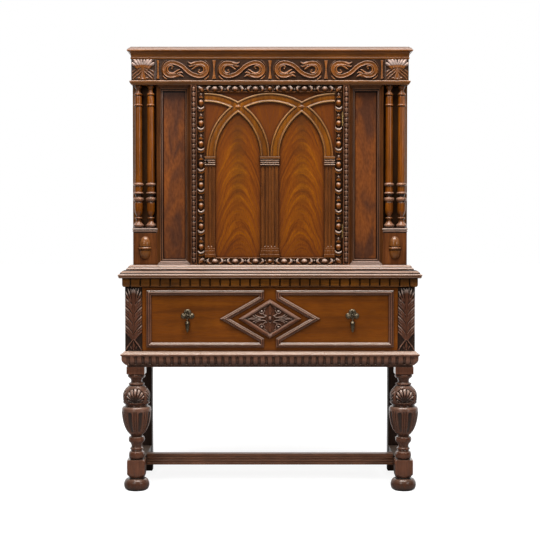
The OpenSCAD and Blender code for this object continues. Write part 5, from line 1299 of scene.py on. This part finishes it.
def corner_leaf(p, q):
    """A leaf that lies along the mitre, p and q measured from the outer corner."""
    out = np.minimum(frame_section(p), frame_section(q))
    along, across = (p + q) / math.sqrt(2), (p - q) / math.sqrt(2)
    half = 7.2 * arched((along - 18) / 14)
    leaf = 10 + 5.5 * arched(across / np.maximum(half, 0.1))
    leaf = leaf - 2 * soft(across, 1.1) - 1.2 * soft(np.abs(across) - 4.5, 1)
    return np.where(half > np.abs(across), np.maximum(out, leaf), out)


def middle_egg(x, v):
    """The egg in the middle of the head and foot, v from the outer edge."""
    out = np.where(np.hypot(x, v - 12) < 12, 6, frame_section(v))
    return np.maximum(out, dome(x, v - 12, 8, 9, 6, 11.5))


def frame_part(name, x0, x1, z0, z1, relief, worn, face=0):
    """A length or unit of the moulding."""
    return carved(name, x0, x1, z0, z1, 0.95, relief, face, face + 0.4, 70, 14.5, worn)


def tile_unit(name, wide, tall, tile, worn, place):
    """A unit of the moulding. place gives the u and v of a point."""
    return frame_part(name, -wide / 2, wide / 2, -tall / 2, tall / 2, lambda x, z: tile(*place(x, z)),
                      lambda x, z, out: worn(*place(x, z), out))


carved_frame = stained_wood(
    "carved_frame", (0.08, 0.024, 0.004), (0.19, 0.054, 0.006), (0.3, 0.094, 0.01), hollow_shade=0.96, rub_and_highlight=0.2,
    soften=0, shade_reach=9, ground=0.96, contrast=0.8, top_light=0.3)
half_w = FRAME_W / 2
side_unit = tile_unit("side_unit", FRAME_W, SIDE_TILE, side_tile, side_worn,
                      lambda x, z: (x + half_w, -z))
mirror_unit = tile_unit("mirror_unit", FRAME_W, SIDE_TILE, side_tile, side_worn,
                        lambda x, z: (half_w - x, -z))
head_unit = tile_unit("head_unit", HEAD_TILE, FRAME_W, head_tile,
                      lambda u, v, out: head_worn(u, v, out, -1), lambda x, z: (half_w - z, x))
foot_unit = tile_unit("foot_unit", HEAD_TILE, FRAME_W, head_tile,
                      lambda u, v, out: head_worn(u, v, out, 1), lambda x, z: (half_w + z, x))
runs = [row(unit, 8, SIDE_TILE, (x, FACE, FIELD_Z + SIDE_TILE / 2), carved_frame, (0, 0, 1))
        for unit, x in ((side_unit, DOOR_L + half_w), (mirror_unit, DOOR_R - half_w))]
for unit, z in ((head_unit, DOOR_TOP - half_w), (foot_unit, DOOR_Z + half_w)):
    for s in (-1, 1):
        runs.append(row(unit, 3, s * HEAD_TILE, (DOOR_X + s * (16 + HEAD_TILE / 2), FACE, z), carved_frame))
# the corner leaves and the middle eggs get a painted highlight on their upper parts
for sx, x in ((1, DOOR_L), (-1, DOOR_R)):
    for sz, z in ((1, DOOR_Z), (-1, DOOR_TOP)):
        runs.append(frame_part(
            "corner", *sorted((x, x + sx * FRAME_W)), *sorted((z, z + sz * FRAME_W)),
            lambda p, q: corner_leaf(np.abs(p - x), np.abs(q - z)),
            lambda p, q, out: 0.8 * tread(out, 11, 14) * tread(q, z + sz * 14, z + sz * 14 + 7), FACE))
for up, z in ((-1, DOOR_TOP), (1, DOOR_Z)):
    runs.append(frame_part(
        "middle_egg", DOOR_X - 16, DOOR_X + 16, *sorted((z, z + up * FRAME_W)),
        lambda p, q: middle_egg(p - DOOR_X, np.abs(q - z)),
        lambda p, q, out: 0.7 * tread(out, 9, 13) * tread(q - z - up * 12, 0, 6), FACE))
eggs = joined("egg_and_dart", runs, carved_frame, 60)
drop(side_unit, mirror_unit, head_unit, foot_unit)
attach(eggs, "door")
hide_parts("egg_and_dart_frame")


# Arches and pilasters. Interlaced arches sawn from walnut and moulded with two ridges each,
# glued to the veneer over fluted pilasters with stepped capitals.

SPRING_Z, FIELD_TOP, ARCH_R, BAND_W, SIDE_ARCH_X = 1297.0, 1544.0, 228.25, 36.0, 247.25


def band_gap(x, z):
    """How far inside (over 0) or outside (under 0) the union of the three arch bands a point is."""
    best = np.full(x.shape, -1e9)
    for middle in (-SIDE_ARCH_X, 0, SIDE_ARCH_X):
        r = np.hypot(x - DOOR_X - middle, z - SPRING_Z)
        best = np.maximum(best, BAND_W / 2 - np.abs(r - ARCH_R))
    return best


def arch_relief(x, z):
    """Two ridges on each band, and a small gem where two bands cross."""
    inside = band_gap(x, z)
    rise = tread(inside, -1.3, 0.6) * 5.6 - 0.6
    ridge = 3.4 * arched((inside - 3.9) / 3.7)
    step = 0.7 * (1 - tread(inside, 8.0, 9.2))
    field = 3.6 + 0.6 * np.cos(np.clip((BAND_W / 2 - inside) / 9, 0, 1) * math.pi / 2)
    out = np.where(inside > 7.4, field + step, rise + ridge)
    cross = math.sqrt(ARCH_R ** 2 - SIDE_ARCH_X ** 2 / 4)
    for s in (-1, 1):
        p = np.abs(x - DOOR_X - s * SIDE_ARCH_X / 2) / 12.5
        q = np.abs(z - SPRING_Z - cross) / 8.5
        gem = 1 - p - q
        out = np.where(gem > 0, np.maximum(out, 5 + 3.4 * np.minimum(gem * 1.7, 1)), out)
    return out


def arch_finish(x, z):
    """Painted shade beside the ridges, and a painted highlight along the ridges, strongest where
    they look up.
    """
    inside = band_gap(x, z)
    step = 0.5
    slope = np.abs(band_gap(x, z + step) - inside) / step
    up = np.clip(slope * 1.15 - 0.1, 0, 1)
    line = soft(inside - 8.4, 0.8) + (inside < 0.3)
    return np.clip(line, 0, 1), soft(inside - 3.7, 2.7) * (0.12 + 0.5 * up)


def patch(name, x0, x1, z0, z1, step, relief, inside, finish, back, crease=60, face=FACE):
    """As carved, but only where inside(x, z) is over 0. finish gives the recess, for painted
    shade, and the painted highlight.
    """
    x, z = grid(x0, x1, z0, z1, step)
    nz, nx = x.shape[0] - 1, x.shape[1] - 1
    keep = inside(x, z) > 0
    cell = keep[:-1, :-1] | keep[:-1, 1:] | keep[1:, :-1] | keep[1:, 1:]
    used = np.zeros(x.shape, bool)
    for a, b in ((0, 0), (0, 1), (1, 0), (1, 1)):
        used[a:a + nz, b:b + nx] |= cell
    number = np.where(used, np.cumsum(used.ravel()).reshape(x.shape) - 1, -1)
    front = np.stack([x, face - relief(x, z), z], 2)[used]
    rear = front.copy()
    rear[:, 1] = back
    many = len(front)
    faces = []
    full = np.zeros((nz + 2, nx + 2), bool)
    full[1:-1, 1:-1] = cell
    for j, i in zip(*np.nonzero(cell)):
        a, b, c, d = (int(number[k]) for k in ((j, i), (j, i + 1), (j + 1, i + 1), (j + 1, i)))
        faces += [(a, b, c, d), (many + d, many + c, many + b, many + a)]
        for (p, q), (dj, di) in (((a, b), (-1, 0)), ((b, c), (0, 1)), ((c, d), (1, 0)), ((d, a), (0, -1))):
            if not full[j + 1 + dj, i + 1 + di]:
                faces.append((q, p, many + p, many + q))
    recess, highlight = (np.append(amount[used], amount[used]) for amount in finish(x, z))
    return piece(name, np.concatenate([front, rear]), faces, crease, recess, highlight)


arch_walnut = stained_wood(
    "arch_walnut", (0.09, 0.026, 0.002), (0.18, 0.052, 0.003), (0.26, 0.085, 0.005), figure=55, hollow_shade=0.85,
    rub_and_highlight=0, soften=0, shade_reach=8, ground=0.9, top_light=0.2, highlight=(0.5, 0.29, 0.12))
arches = patch("interlaced_arches", DOOR_X - 252.5, DOOR_X + 252.5, SPRING_Z + 0.2, FIELD_TOP - 0.6, 1.35,
               arch_relief, lambda x, z: band_gap(x, z) + 1.6, arch_finish, FACE + 0.5)
arches.data.materials.append(arch_walnut)
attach(arches, "door")
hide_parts("door_arches")
pilaster_walnut = stained_wood(
    "pilaster_walnut", (0.055, 0.016, 0.004), (0.125, 0.037, 0.007), (0.2, 0.062, 0.012), hollow_shade=0.9,
    rub_and_highlight=0.7, top_light=0.5)
finish_nodes(pilaster_walnut, "door_pilasters")
capital_walnut = stained_wood(
    "capital_walnut", (0.07, 0.021, 0.003), (0.15, 0.046, 0.005), (0.23, 0.074, 0.008), grain="X",
    hollow_shade=0.7, rub_and_highlight=0, soften=0, shade_reach=5, ground=0.72, top_light=0.15, highlight=(0.5, 0.36, 0.27))
# height of a capital and of one reed, and where over the foot the reeds end and the overhang starts
CAPITAL_H, REED, REEDS_TOP, OVERHANG_Z = 35.6, 7.8, 23.4, 24.8
KEYHOLE = (-244.5, 1277)


def reed_place(z):
    """Height over the capital's foot, and place across a reed: 0 in its middle, 1 at its edge."""
    high = z - SPRING_Z + CAPITAL_H
    return high, (high % REED - REED / 2) / 2.9


def key_gap(x, z):
    """How far a point lies from the keyhole's slot."""
    return np.hypot(x - KEYHOLE[0], z - np.clip(z, KEYHOLE[1] - 6, KEYHOLE[1] + 2))


def capital_relief(x, z):
    """Three reeds under a broad fillet."""
    high, off = reed_place(z)
    reeds = 11.6 + 0.07 * high + 2.6 * arched(off)
    return np.where(high > 26.2, 15.8, np.where(high > REEDS_TOP, 13.2, reeds))


def capital_finish(x, z):
    """Painted shade between the reeds and round the keyhole, and a painted highlight along each
    reed, weaker on the higher reeds under the fillet, and on the fillet's upper edge.
    """
    high, off = reed_place(z)
    reeds, key = high < REEDS_TOP, key_gap(x, z)
    pale = soft(off - 0.1, 0.42) * (1.1 - 0.034 * high)
    sunk = np.where(reeds, tread(np.abs(off), 0.5, 0.9), high < 26.9)
    return np.maximum(sunk, key < 5.2) * 1.0, np.where(reeds, pale, 0.05 + 0.3 * (high > 33.6)) * (key > 5.2)


def capital(x0, x1, inset):
    """One capital's mouldings; inset(x, z) is over 0 inside its outline."""
    return patch("capital", x0, x1, SPRING_Z - CAPITAL_H + 0.1, SPRING_Z - 0.1, 0.95, capital_relief,
                 lambda x, z: np.minimum(inset(x, z), key_gap(x, z) - 3.9), capital_finish, FACE - 2)


def overhang(z):
    return np.where(z - SPRING_Z + CAPITAL_H > OVERHANG_Z, 0, 3)


capitals = [capital(DOOR_X - 38.6, DOOR_X + 38.6, lambda x, z: 38.7 - overhang(z) - np.abs(x - DOOR_X))]
for s in (-1, 1):
    x0, x1 = sorted((DOOR_X + s * 210.6, DOOR_X + s * 252.3))
    capitals.append(capital(x0, x1, lambda x, z: s * (x - DOOR_X) - 210.5 - overhang(z) / 2))
reeded = joined("reeded_capitals", capitals, capital_walnut, 40)
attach(reeded, "door")


# Door metalwork. Brass butt hinges let into the edge, and a small brass lock with a steel bolt,
# all filed by hand and left to dull.

def metal(name, base, dark, rough, grime):
    material, tree, place = blank(name)
    cloud, scratch = noise(tree, place, 160, 5), noise(tree, place, 900, 3)
    colour = ramp(tree, cloud, (0.35, dark), (0.62, base))
    colour = blend_of(tree, hollows(tree, 0.004, 0.3, 0.9, grime), colour, scaled(dark, 0.15))
    normal = add(tree, "ShaderNodeBump", {"Height": scratch, "Strength": 0.12, "Distance": 0.0002}).outputs[0]
    polished(tree, {"Base Color": colour, "Roughness": span(tree, cloud, 0.3, 0.7, rough + 0.14, rough),
                    "Normal": normal, "Metallic": 1.0})
    return material


brass = metal("brass", (0.5, 0.34, 0.13), (0.25, 0.15, 0.05), 0.3, 0.7)
steel = metal("steel", (0.42, 0.42, 0.43), (0.22, 0.2, 0.19), 0.3, 0.6)
finish_nodes(brass, "hinge_fixed_leaves", "hinge_door_leaves", "lock_case")
finish_nodes(steel, "lock_bolt")


# Drawer front. A wide walnut board veneered along the grain, with mitred mouldings glued on
# that leave a lozenge free in the middle.

DRAWER_FACE = -212.0
drawer_veneer = stained_wood(
    "drawer_veneer", (0.1, 0.026, 0.003), (0.165, 0.043, 0.004), (0.21, 0.062, 0.006), grain="X",
    figure=34, sheen=0.24, pores=0.4, contrast=0.8)
finish_nodes(drawer_veneer, "drawer_front")
drawer_walnut = stained_wood(
    "drawer_walnut", (0.09, 0.036, 0.02), (0.17, 0.07, 0.04), (0.25, 0.105, 0.062), grain="X", hollow_shade=0.9,
    contrast=0.6, rub_and_highlight=0, soften=0, ground=0.9, top_light=0.85, shade_reach=7)
PANEL = np.array([(22.7, 558), (477.7, 558), (477.7, 780), (22.7, 780), (22.7, 744), (154, 669), (22.7, 594)])
# inset from the outline, height over the face and recess, which paints shade in the quirks:
# two fine reeds on each slope
reeds = [(0, 0, 1), (0.4, 3, 0.8), (1.2, 4.8, 0.2), (4.8, 7.2, 0), (5.2, 6, 1), (6.8, 6.2, 1), (7.2, 8, 0),
         (8.4, 9.2, 0), (9.8, 9.7, 0)]
reeds += [(20 - inset, out, sunk) for inset, out, sunk in reeds[::-1]]
ahead = np.roll(PANEL, -1, 0) - PANEL
inward = np.stack([-ahead[:, 1], ahead[:, 0]], 1) / np.hypot(*ahead.T)[:, None]
before = np.roll(inward, 1, 0)
mitre = (inward + before) / (1 + (inward * before).sum(1))[:, None]
corners = [(x, z, mx, mz) for (x, z), (mx, mz) in zip(PANEL, mitre)]
loops = [lofted("panel_loop", [
    ([(s * (x + inset * mx), DRAWER_FACE - out, z + inset * mz) for x, z, mx, mz in corners], sunk, 0)
    for inset, out, sunk in reeds], 25, closed=True) for s in (-1, 1)]
made = joined("panel_mouldings", loops, drawer_walnut, 25)
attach(made, "drawer")
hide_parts("drawer_mouldings")


# Lozenge. A carved walnut diamond glued to the drawer: a sloped border round an oval bead,
# four pointed leaves and four volutes with bead eyes.

# half the width and height of the diamond, and of the carved ground inside its border
LOZ_W, LOZ_H, LOZ_Z = 121.0, 75.0, 669.0
IN_W, IN_H = 93.0, 57.6
# the middle of a volute, and how many cells run along each side of the diamond
EYE_X, EYE_Z, LOZ_CELLS = 32, 30, 150
loz_strands = ([(12, 12), (20, 14), (27, 19)], [(14, 10), (27, 5.5), (42, 7.5), (54, 13), (60, 19)],
               [(34, 2), (46, 3.5), (60, 9), (68, 14)], [(24, 38), (17, 44), (9, 52)])


def lozenge_relief(x, z):
    z = z - LOZ_Z
    p, q = np.abs(x), np.abs(z)
    rim = 1 - p / LOZ_W - q / LOZ_H
    inner = 1 - p / IN_W - q / IN_H
    border = 3 + np.interp(rim, [0, 0.015, 0.06, 0.10, 0.16, 0.21, 0.235],
                           [2.5, 7.5, 9.2, 10.4, 10, 7.6, 4.2])
    out = np.where(inner < 0, border, 4.9 + 0.3 * np.sin(x * 2.1) * np.sin(z * 2.3))
    # pointed leaves on the two axes
    cut = lobe(p, z, [(50, 0), (64, 0), (86, 0)], 6.2, 5.6, True, 0.7, 0.6, 0.1)
    cut = np.maximum(cut, lobe(x, q, [(0, 18), (0, 34), (0, 55)], 7.0, 5.6, True, 0.65, 0.6, 0.1))
    # a volute in each quarter, curled round its bead, and strands that run to the side points
    a = np.degrees(np.arctan2(q - EYE_Z, p - EYE_X))
    r = np.hypot(q - EYE_Z, p - EYE_X)
    curl = 5.6 * arched((r - 9.2 - 0.006 * (a + 180)) / 2.0)
    cut = np.maximum(cut, np.where((a < 35) | (a > 160), curl, 0))
    for path in loz_strands:
        cut = np.maximum(cut, cord_ridge(p, q, path, 2.1, 5.4, (0.08, 0.12)))
    cut = np.maximum(cut, 7.4 * arched(r / 4.4))
    out = np.where(inner > 0, out + cut * tread(inner, 0.02, 0.07), out)
    # the oval bead in its hollow, and a small bead under it
    moat = (p / 10.4) ** 2 + ((z - 1) / 13.6) ** 2 < 1
    out = np.where(moat, 3.4, out)
    out = np.maximum(out, 13.8 * np.sqrt(np.clip(1 - (p / 7.6) ** 2 - ((z - 1) / 11.0) ** 2, 0, 1)))
    return np.maximum(out, pearl(p, z + 16.5, 14, 12.0))


# painted highlight on the upper half of the border, and on the eyes, strands and bead, stronger above the
# middle
def lozenge_worn(x, z, out):
    z = z - LOZ_Z
    p, q = np.abs(x), np.abs(z)
    rim, inner = 1 - p / LOZ_W - q / LOZ_H, 1 - p / IN_W - q / IN_H
    upper = (inner < 0) * (z > 0) * tread(rim, 0.01, 0.06) * (1 - tread(rim, 0.17, 0.21))
    eye = np.hypot(q - EYE_Z, p - EYE_X) < 4.4
    strand = tread(out, 7.6, 9.4) * (inner > 0.03) * (p > 12)
    above = 0.55 + 0.45 * (z > 0)
    bead = tread(out, 11, 14) * (p < 8)
    return np.clip(0.16 * upper + 0.8 * eye * above + 0.36 * strand * above + 0.3 * bead, 0, 1)


# the grid of points runs along the sides of the diamond
s, t = np.meshgrid(np.linspace(0, 1, LOZ_CELLS + 1), np.linspace(0, 1, LOZ_CELLS + 1))
lozenge = board("carved_lozenge", LOZ_W * (s - t), LOZ_Z + LOZ_H * (s + t - 1), lozenge_relief,
                DRAWER_FACE, DRAWER_FACE + 0.4, full=8.2, worn=lozenge_worn)
carved_lozenge = stained_wood(
    "carved_lozenge", (0.06, 0.02, 0.01), (0.125, 0.042, 0.019), (0.19, 0.068, 0.03), grain="X",
    hollow_shade=0.93, rub_and_highlight=0.3, soften=0, shade_reach=8, ground=0.78, top_light=0.25)
lozenge.data.materials.append(carved_lozenge)
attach(lozenge, "drawer")
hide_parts("drawer_lozenge")


# Pulls. Cast brass: a plate of three scallops, and a pin through its knob that carries a
# V-shaped bail with an acorn. Left to tone down to grey and brown.

PULL_X, PULL_Y, PULL_Z = 318.0, -226.5, 684.0
# the middles of the upper scallop and of the two at the sides
SHELL_TOP, SHELL_SIDE = (0, 8.0), (15.4, -3.5)


def shells(x, z):
    """How far inside the upper scallop and inside the nearer side one a point is."""
    return (14.2 - np.hypot(x, z - SHELL_TOP[1]),
            10.4 - np.hypot(np.abs(x) - SHELL_SIDE[0], z - SHELL_SIDE[1]))


def plate_gap(x, z):
    """How far inside the outline of the plate a point is, about the pin."""
    foot = 7.5 - np.hypot(x, z + 8)
    return np.maximum(np.maximum(*shells(x, z)), foot)


def plate_relief(x, z):
    inside = plate_gap(x, z)
    top, sides = shells(x, z)
    centre, lift = (np.where(top > sides, upper, lower) for upper, lower in zip(SHELL_TOP, SHELL_SIDE))
    flutes = 0.55 * np.cos(np.arctan2(np.abs(x) - centre * 0.25, z - lift * 0.1) * 17)
    seam = 1.2 * soft(top - sides, 1.1) * (np.abs(x) > 4)
    rise = 1.2 + 2.8 * tread(inside, 0, 6)
    dish = 1.8 * np.exp(-((x ** 2 + (z + 4.5) ** 2) / 16))
    return np.clip(rise + soft(inside - 1.2, 0.9) + flutes * tread(inside, 0.6, 2.5) - seam - dish, 0.4, 6.5)


def rod(name, path, radii, steps=14):
    """A round bar through points, closed at its ends."""
    line = np.array(path, float)
    points = []
    for k, (at, r) in enumerate(zip(line, radii)):
        way = Vector(line[min(k + 1, len(line) - 1)] - line[max(k - 1, 0)]).normalized()
        over = way.orthogonal().normalized()
        if k and over.dot(last) < 0.99:
            over = (last - way * last.dot(way)).normalized()
        last = over
        beside = way.cross(over)
        for t in np.arange(steps) * 2 * math.pi / steps:
            points.append(Vector(at) + r * (math.cos(t) * over + math.sin(t) * beside))
    faces = wrapped(len(line), steps)
    faces += [tuple(range(steps)), tuple(len(points) - 1 - i for i in range(steps))]
    return piece(name, points, faces, 60)


aged_brass = metal("aged_brass", (0.17, 0.135, 0.088), (0.06, 0.045, 0.028), 0.32, 0.95)
# y and radius of the post, from the plate to its front
post_rows = ((-214, 3.6), (-218, 2.6), (-221, 2.2), (-223, 2.2), (-224.5, 3.2), (-227.2, 3.7), (-229.4, 2.6),
             (-230.3, 0.6))
plates = []
for middle in (-PULL_X, PULL_X):
    plates.append(patch("plate", middle - 26.5, middle + 26.5, PULL_Z - 16, PULL_Z + 22.6, 0.55,
                        lambda x, z: plate_relief(x - middle, z - PULL_Z),
                        lambda x, z: plate_gap(x - middle, z - PULL_Z),
                        lambda x, z: (0 * x, 0 * x), DRAWER_FACE + 0.4, 50, DRAWER_FACE))
    plates.append(rod("post", [(middle, y, PULL_Z) for y, _ in post_rows], [r for _, r in post_rows], 20))
made = joined("scallop_plates", plates, aged_brass)
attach(made, "drawer")
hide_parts("pull_plates")

# radius and height from the acorn's tip
acorn_rows = np.array([
    (0.4, 0), (1.6, 1.2), (2.2, 2.6), *bow((2.4, 3), (5.8, 9), (8.2, 18), (8.0, 32), 14), (8.0, 33),
    *swell((9.0, 33.8), (9.2, 37.4), 0.7, 5), *bow((9.0, 38), (8.4, 42), (5.4, 43.5), (2.4, 44), 8),
    (2.0, 44.6), (2.0, 46.4), *swell((2.1, 46.6), (2.1, 50), 1.3, 6), (0.6, 50.4)])
ACORN_DROP = 67
# along x and radius of the pin, and the way of a bail down from the pin
pin_rows = ((-11.2, 0.5), (-10.6, 1.9), (-9, 2.1), (-7.6, 1.2), (7.6, 1.2), (9, 2.1), (10.6, 1.9),
            (11.2, 0.5))
bail = smooth_line([(9.2, 0), (8.0, -4), (4.0, -10), (1.4, -15), (0.9, -17.4)], 1.5)
for s, side in ((-1, "left"), (1, "right")):
    middle = s * PULL_X
    radii, heights = acorn_rows[:, 0:1], acorn_rows[:, 1:2]
    a = np.arange(36) * math.pi / 18
    ribs = 1 + 0.03 * np.cos(6 * a)[None, :] * ((heights > 4) & (heights < 32))
    parts = [turning("acorn", radii * ribs, heights[:, 0], (middle, PULL_Y, PULL_Z - ACORN_DROP)),
             rod("pin", [(middle + x, PULL_Y, PULL_Z) for x, _ in pin_rows], [r for _, r in pin_rows])]
    for t in (-1, 1):
        parts.append(rod("bail", [(middle + t * p[0], PULL_Y, PULL_Z + p[1]) for p in bail],
                         [1.5 - 0.35 * math.sin(math.pi * k / (len(bail) - 1)) for k in range(len(bail))]))
    made = joined(f"acorn_drop_{side}", parts, aged_brass)
    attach(made, f"{side}_drop")
    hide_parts(f"drop_{side}")


# Studio: a pale floor, soft lamps and the camera.

def lamp(name, energy, at, look, size, size_y=None):
    light = bpy.data.lights.new(name, "AREA")
    light.energy = energy
    light.shape = "RECTANGLE"
    light.size, light.size_y = size, size_y or size
    hung = bpy.data.objects.new(name, light)
    bpy.context.scene.collection.objects.link(hung)
    hung.location = at
    hung.rotation_euler = (Vector(look) - Vector(at)).to_track_quat("-Z", "Y").to_euler()


floor_mesh = bpy.data.meshes.new("floor")
floor_mesh.from_pydata([(-40, -40, 0), (40, -40, 0), (40, 40, 0), (-40, 40, 0)], [], [(0, 1, 2, 3)])
floor = bpy.data.objects.new("floor", floor_mesh)
bpy.context.scene.collection.objects.link(floor)
# the camera sees the floor as white, a little greyer near the cabinet
paper, tree, _ = blank("floor_paper")
rays = add(tree, "ShaderNodeLightPath").outputs
speck = add(tree, "ShaderNodeTexNoise", {"Scale": 60, "Detail": 4}).outputs[0]
tone = ramp(tree, speck, (0.3, (0.3, 0.3, 0.3)), (0.7, (0.34, 0.34, 0.34)))
matt = add(tree, "ShaderNodeBsdfDiffuse", {"Color": tone})
spot = add(tree, "ShaderNodeNewGeometry").outputs["Position"]
rear = add(tree, "ShaderNodeSeparateXYZ", {0: spot}).outputs[1]
behind = sums(tree, "MULTIPLY", rays["Is Glossy Ray"], sums(tree, "GREATER_THAN", rear, 0.5))
seen = sums(tree, "MAXIMUM", rays["Is Camera Ray"], behind)
far = add(tree, "ShaderNodeVectorMath", {0: spot}, operation="LENGTH").outputs["Value"]
strength = sums(tree, "MULTIPLY", seen, span(tree, far, 0.9, 2.6, 0.86, 1.0))
glow = add(tree, "ShaderNodeEmission", {"Color": (1, 1, 1, 1), "Strength": strength})
lift = add(tree, "ShaderNodeAddShader", {0: matt.outputs[0], 1: glow.outputs[0]})
add(tree, "ShaderNodeOutputMaterial", {0: lift.outputs[0]})
floor_mesh.materials.append(paper)

world = bpy.data.worlds.new("studio")
bpy.context.scene.world = world
world.use_nodes = True
tree = world.node_tree
tree.nodes.clear()
rays = add(tree, "ShaderNodeLightPath").outputs
way = add(tree, "ShaderNodeSeparateXYZ", {0: add(tree, "ShaderNodeTexCoord").outputs["Generated"]})
behind = span(tree, way.outputs[1], 0.1, 0.45, 0.0, 1.0)
mirrored = sums(tree, "MULTIPLY", rays["Is Glossy Ray"], behind)
fill = add(tree, "ShaderNodeBackground", {"Color": (1, 0.97, 0.94, 1), "Strength": 0.1})
white = add(tree, "ShaderNodeBackground", {"Color": (1, 1, 1, 1), "Strength": 1.0})
pick = add(tree, "ShaderNodeMixShader", {0: sums(tree, "MAXIMUM", rays["Is Camera Ray"], mirrored),
                                         1: fill.outputs[0], 2: white.outputs[0]})
add(tree, "ShaderNodeOutputWorld", {0: pick.outputs[0]})

lamp("top_softbox", 260, (0, -1.25, 4.0), (0, -0.35, 0.9), 3.0, 2.0)
lamp("front_softbox", 48, (-1.9, -4.4, 2.9), (0, 0, 0.95), 1.6)
lamp("side_softbox", 28, (3.0, -3.4, 2.2), (0, 0, 0.9), 1.2)
lamp("back_softbox", 30, (0.6, 3.6, 2.6), (0, 0, 0.9), 1.8)

lens = bpy.data.cameras.new("camera")
lens.lens = 78.3
lens.sensor_width = 36
camera = bpy.data.objects.new("camera", lens)
bpy.context.scene.collection.objects.link(camera)
camera.location = (0, -4.74, 0.977)
camera.rotation_euler = (math.radians(90 - 1.51), 0, 0)
bpy.context.scene.camera = camera
bpy.context.scene.view_settings.view_transform = "Standard"
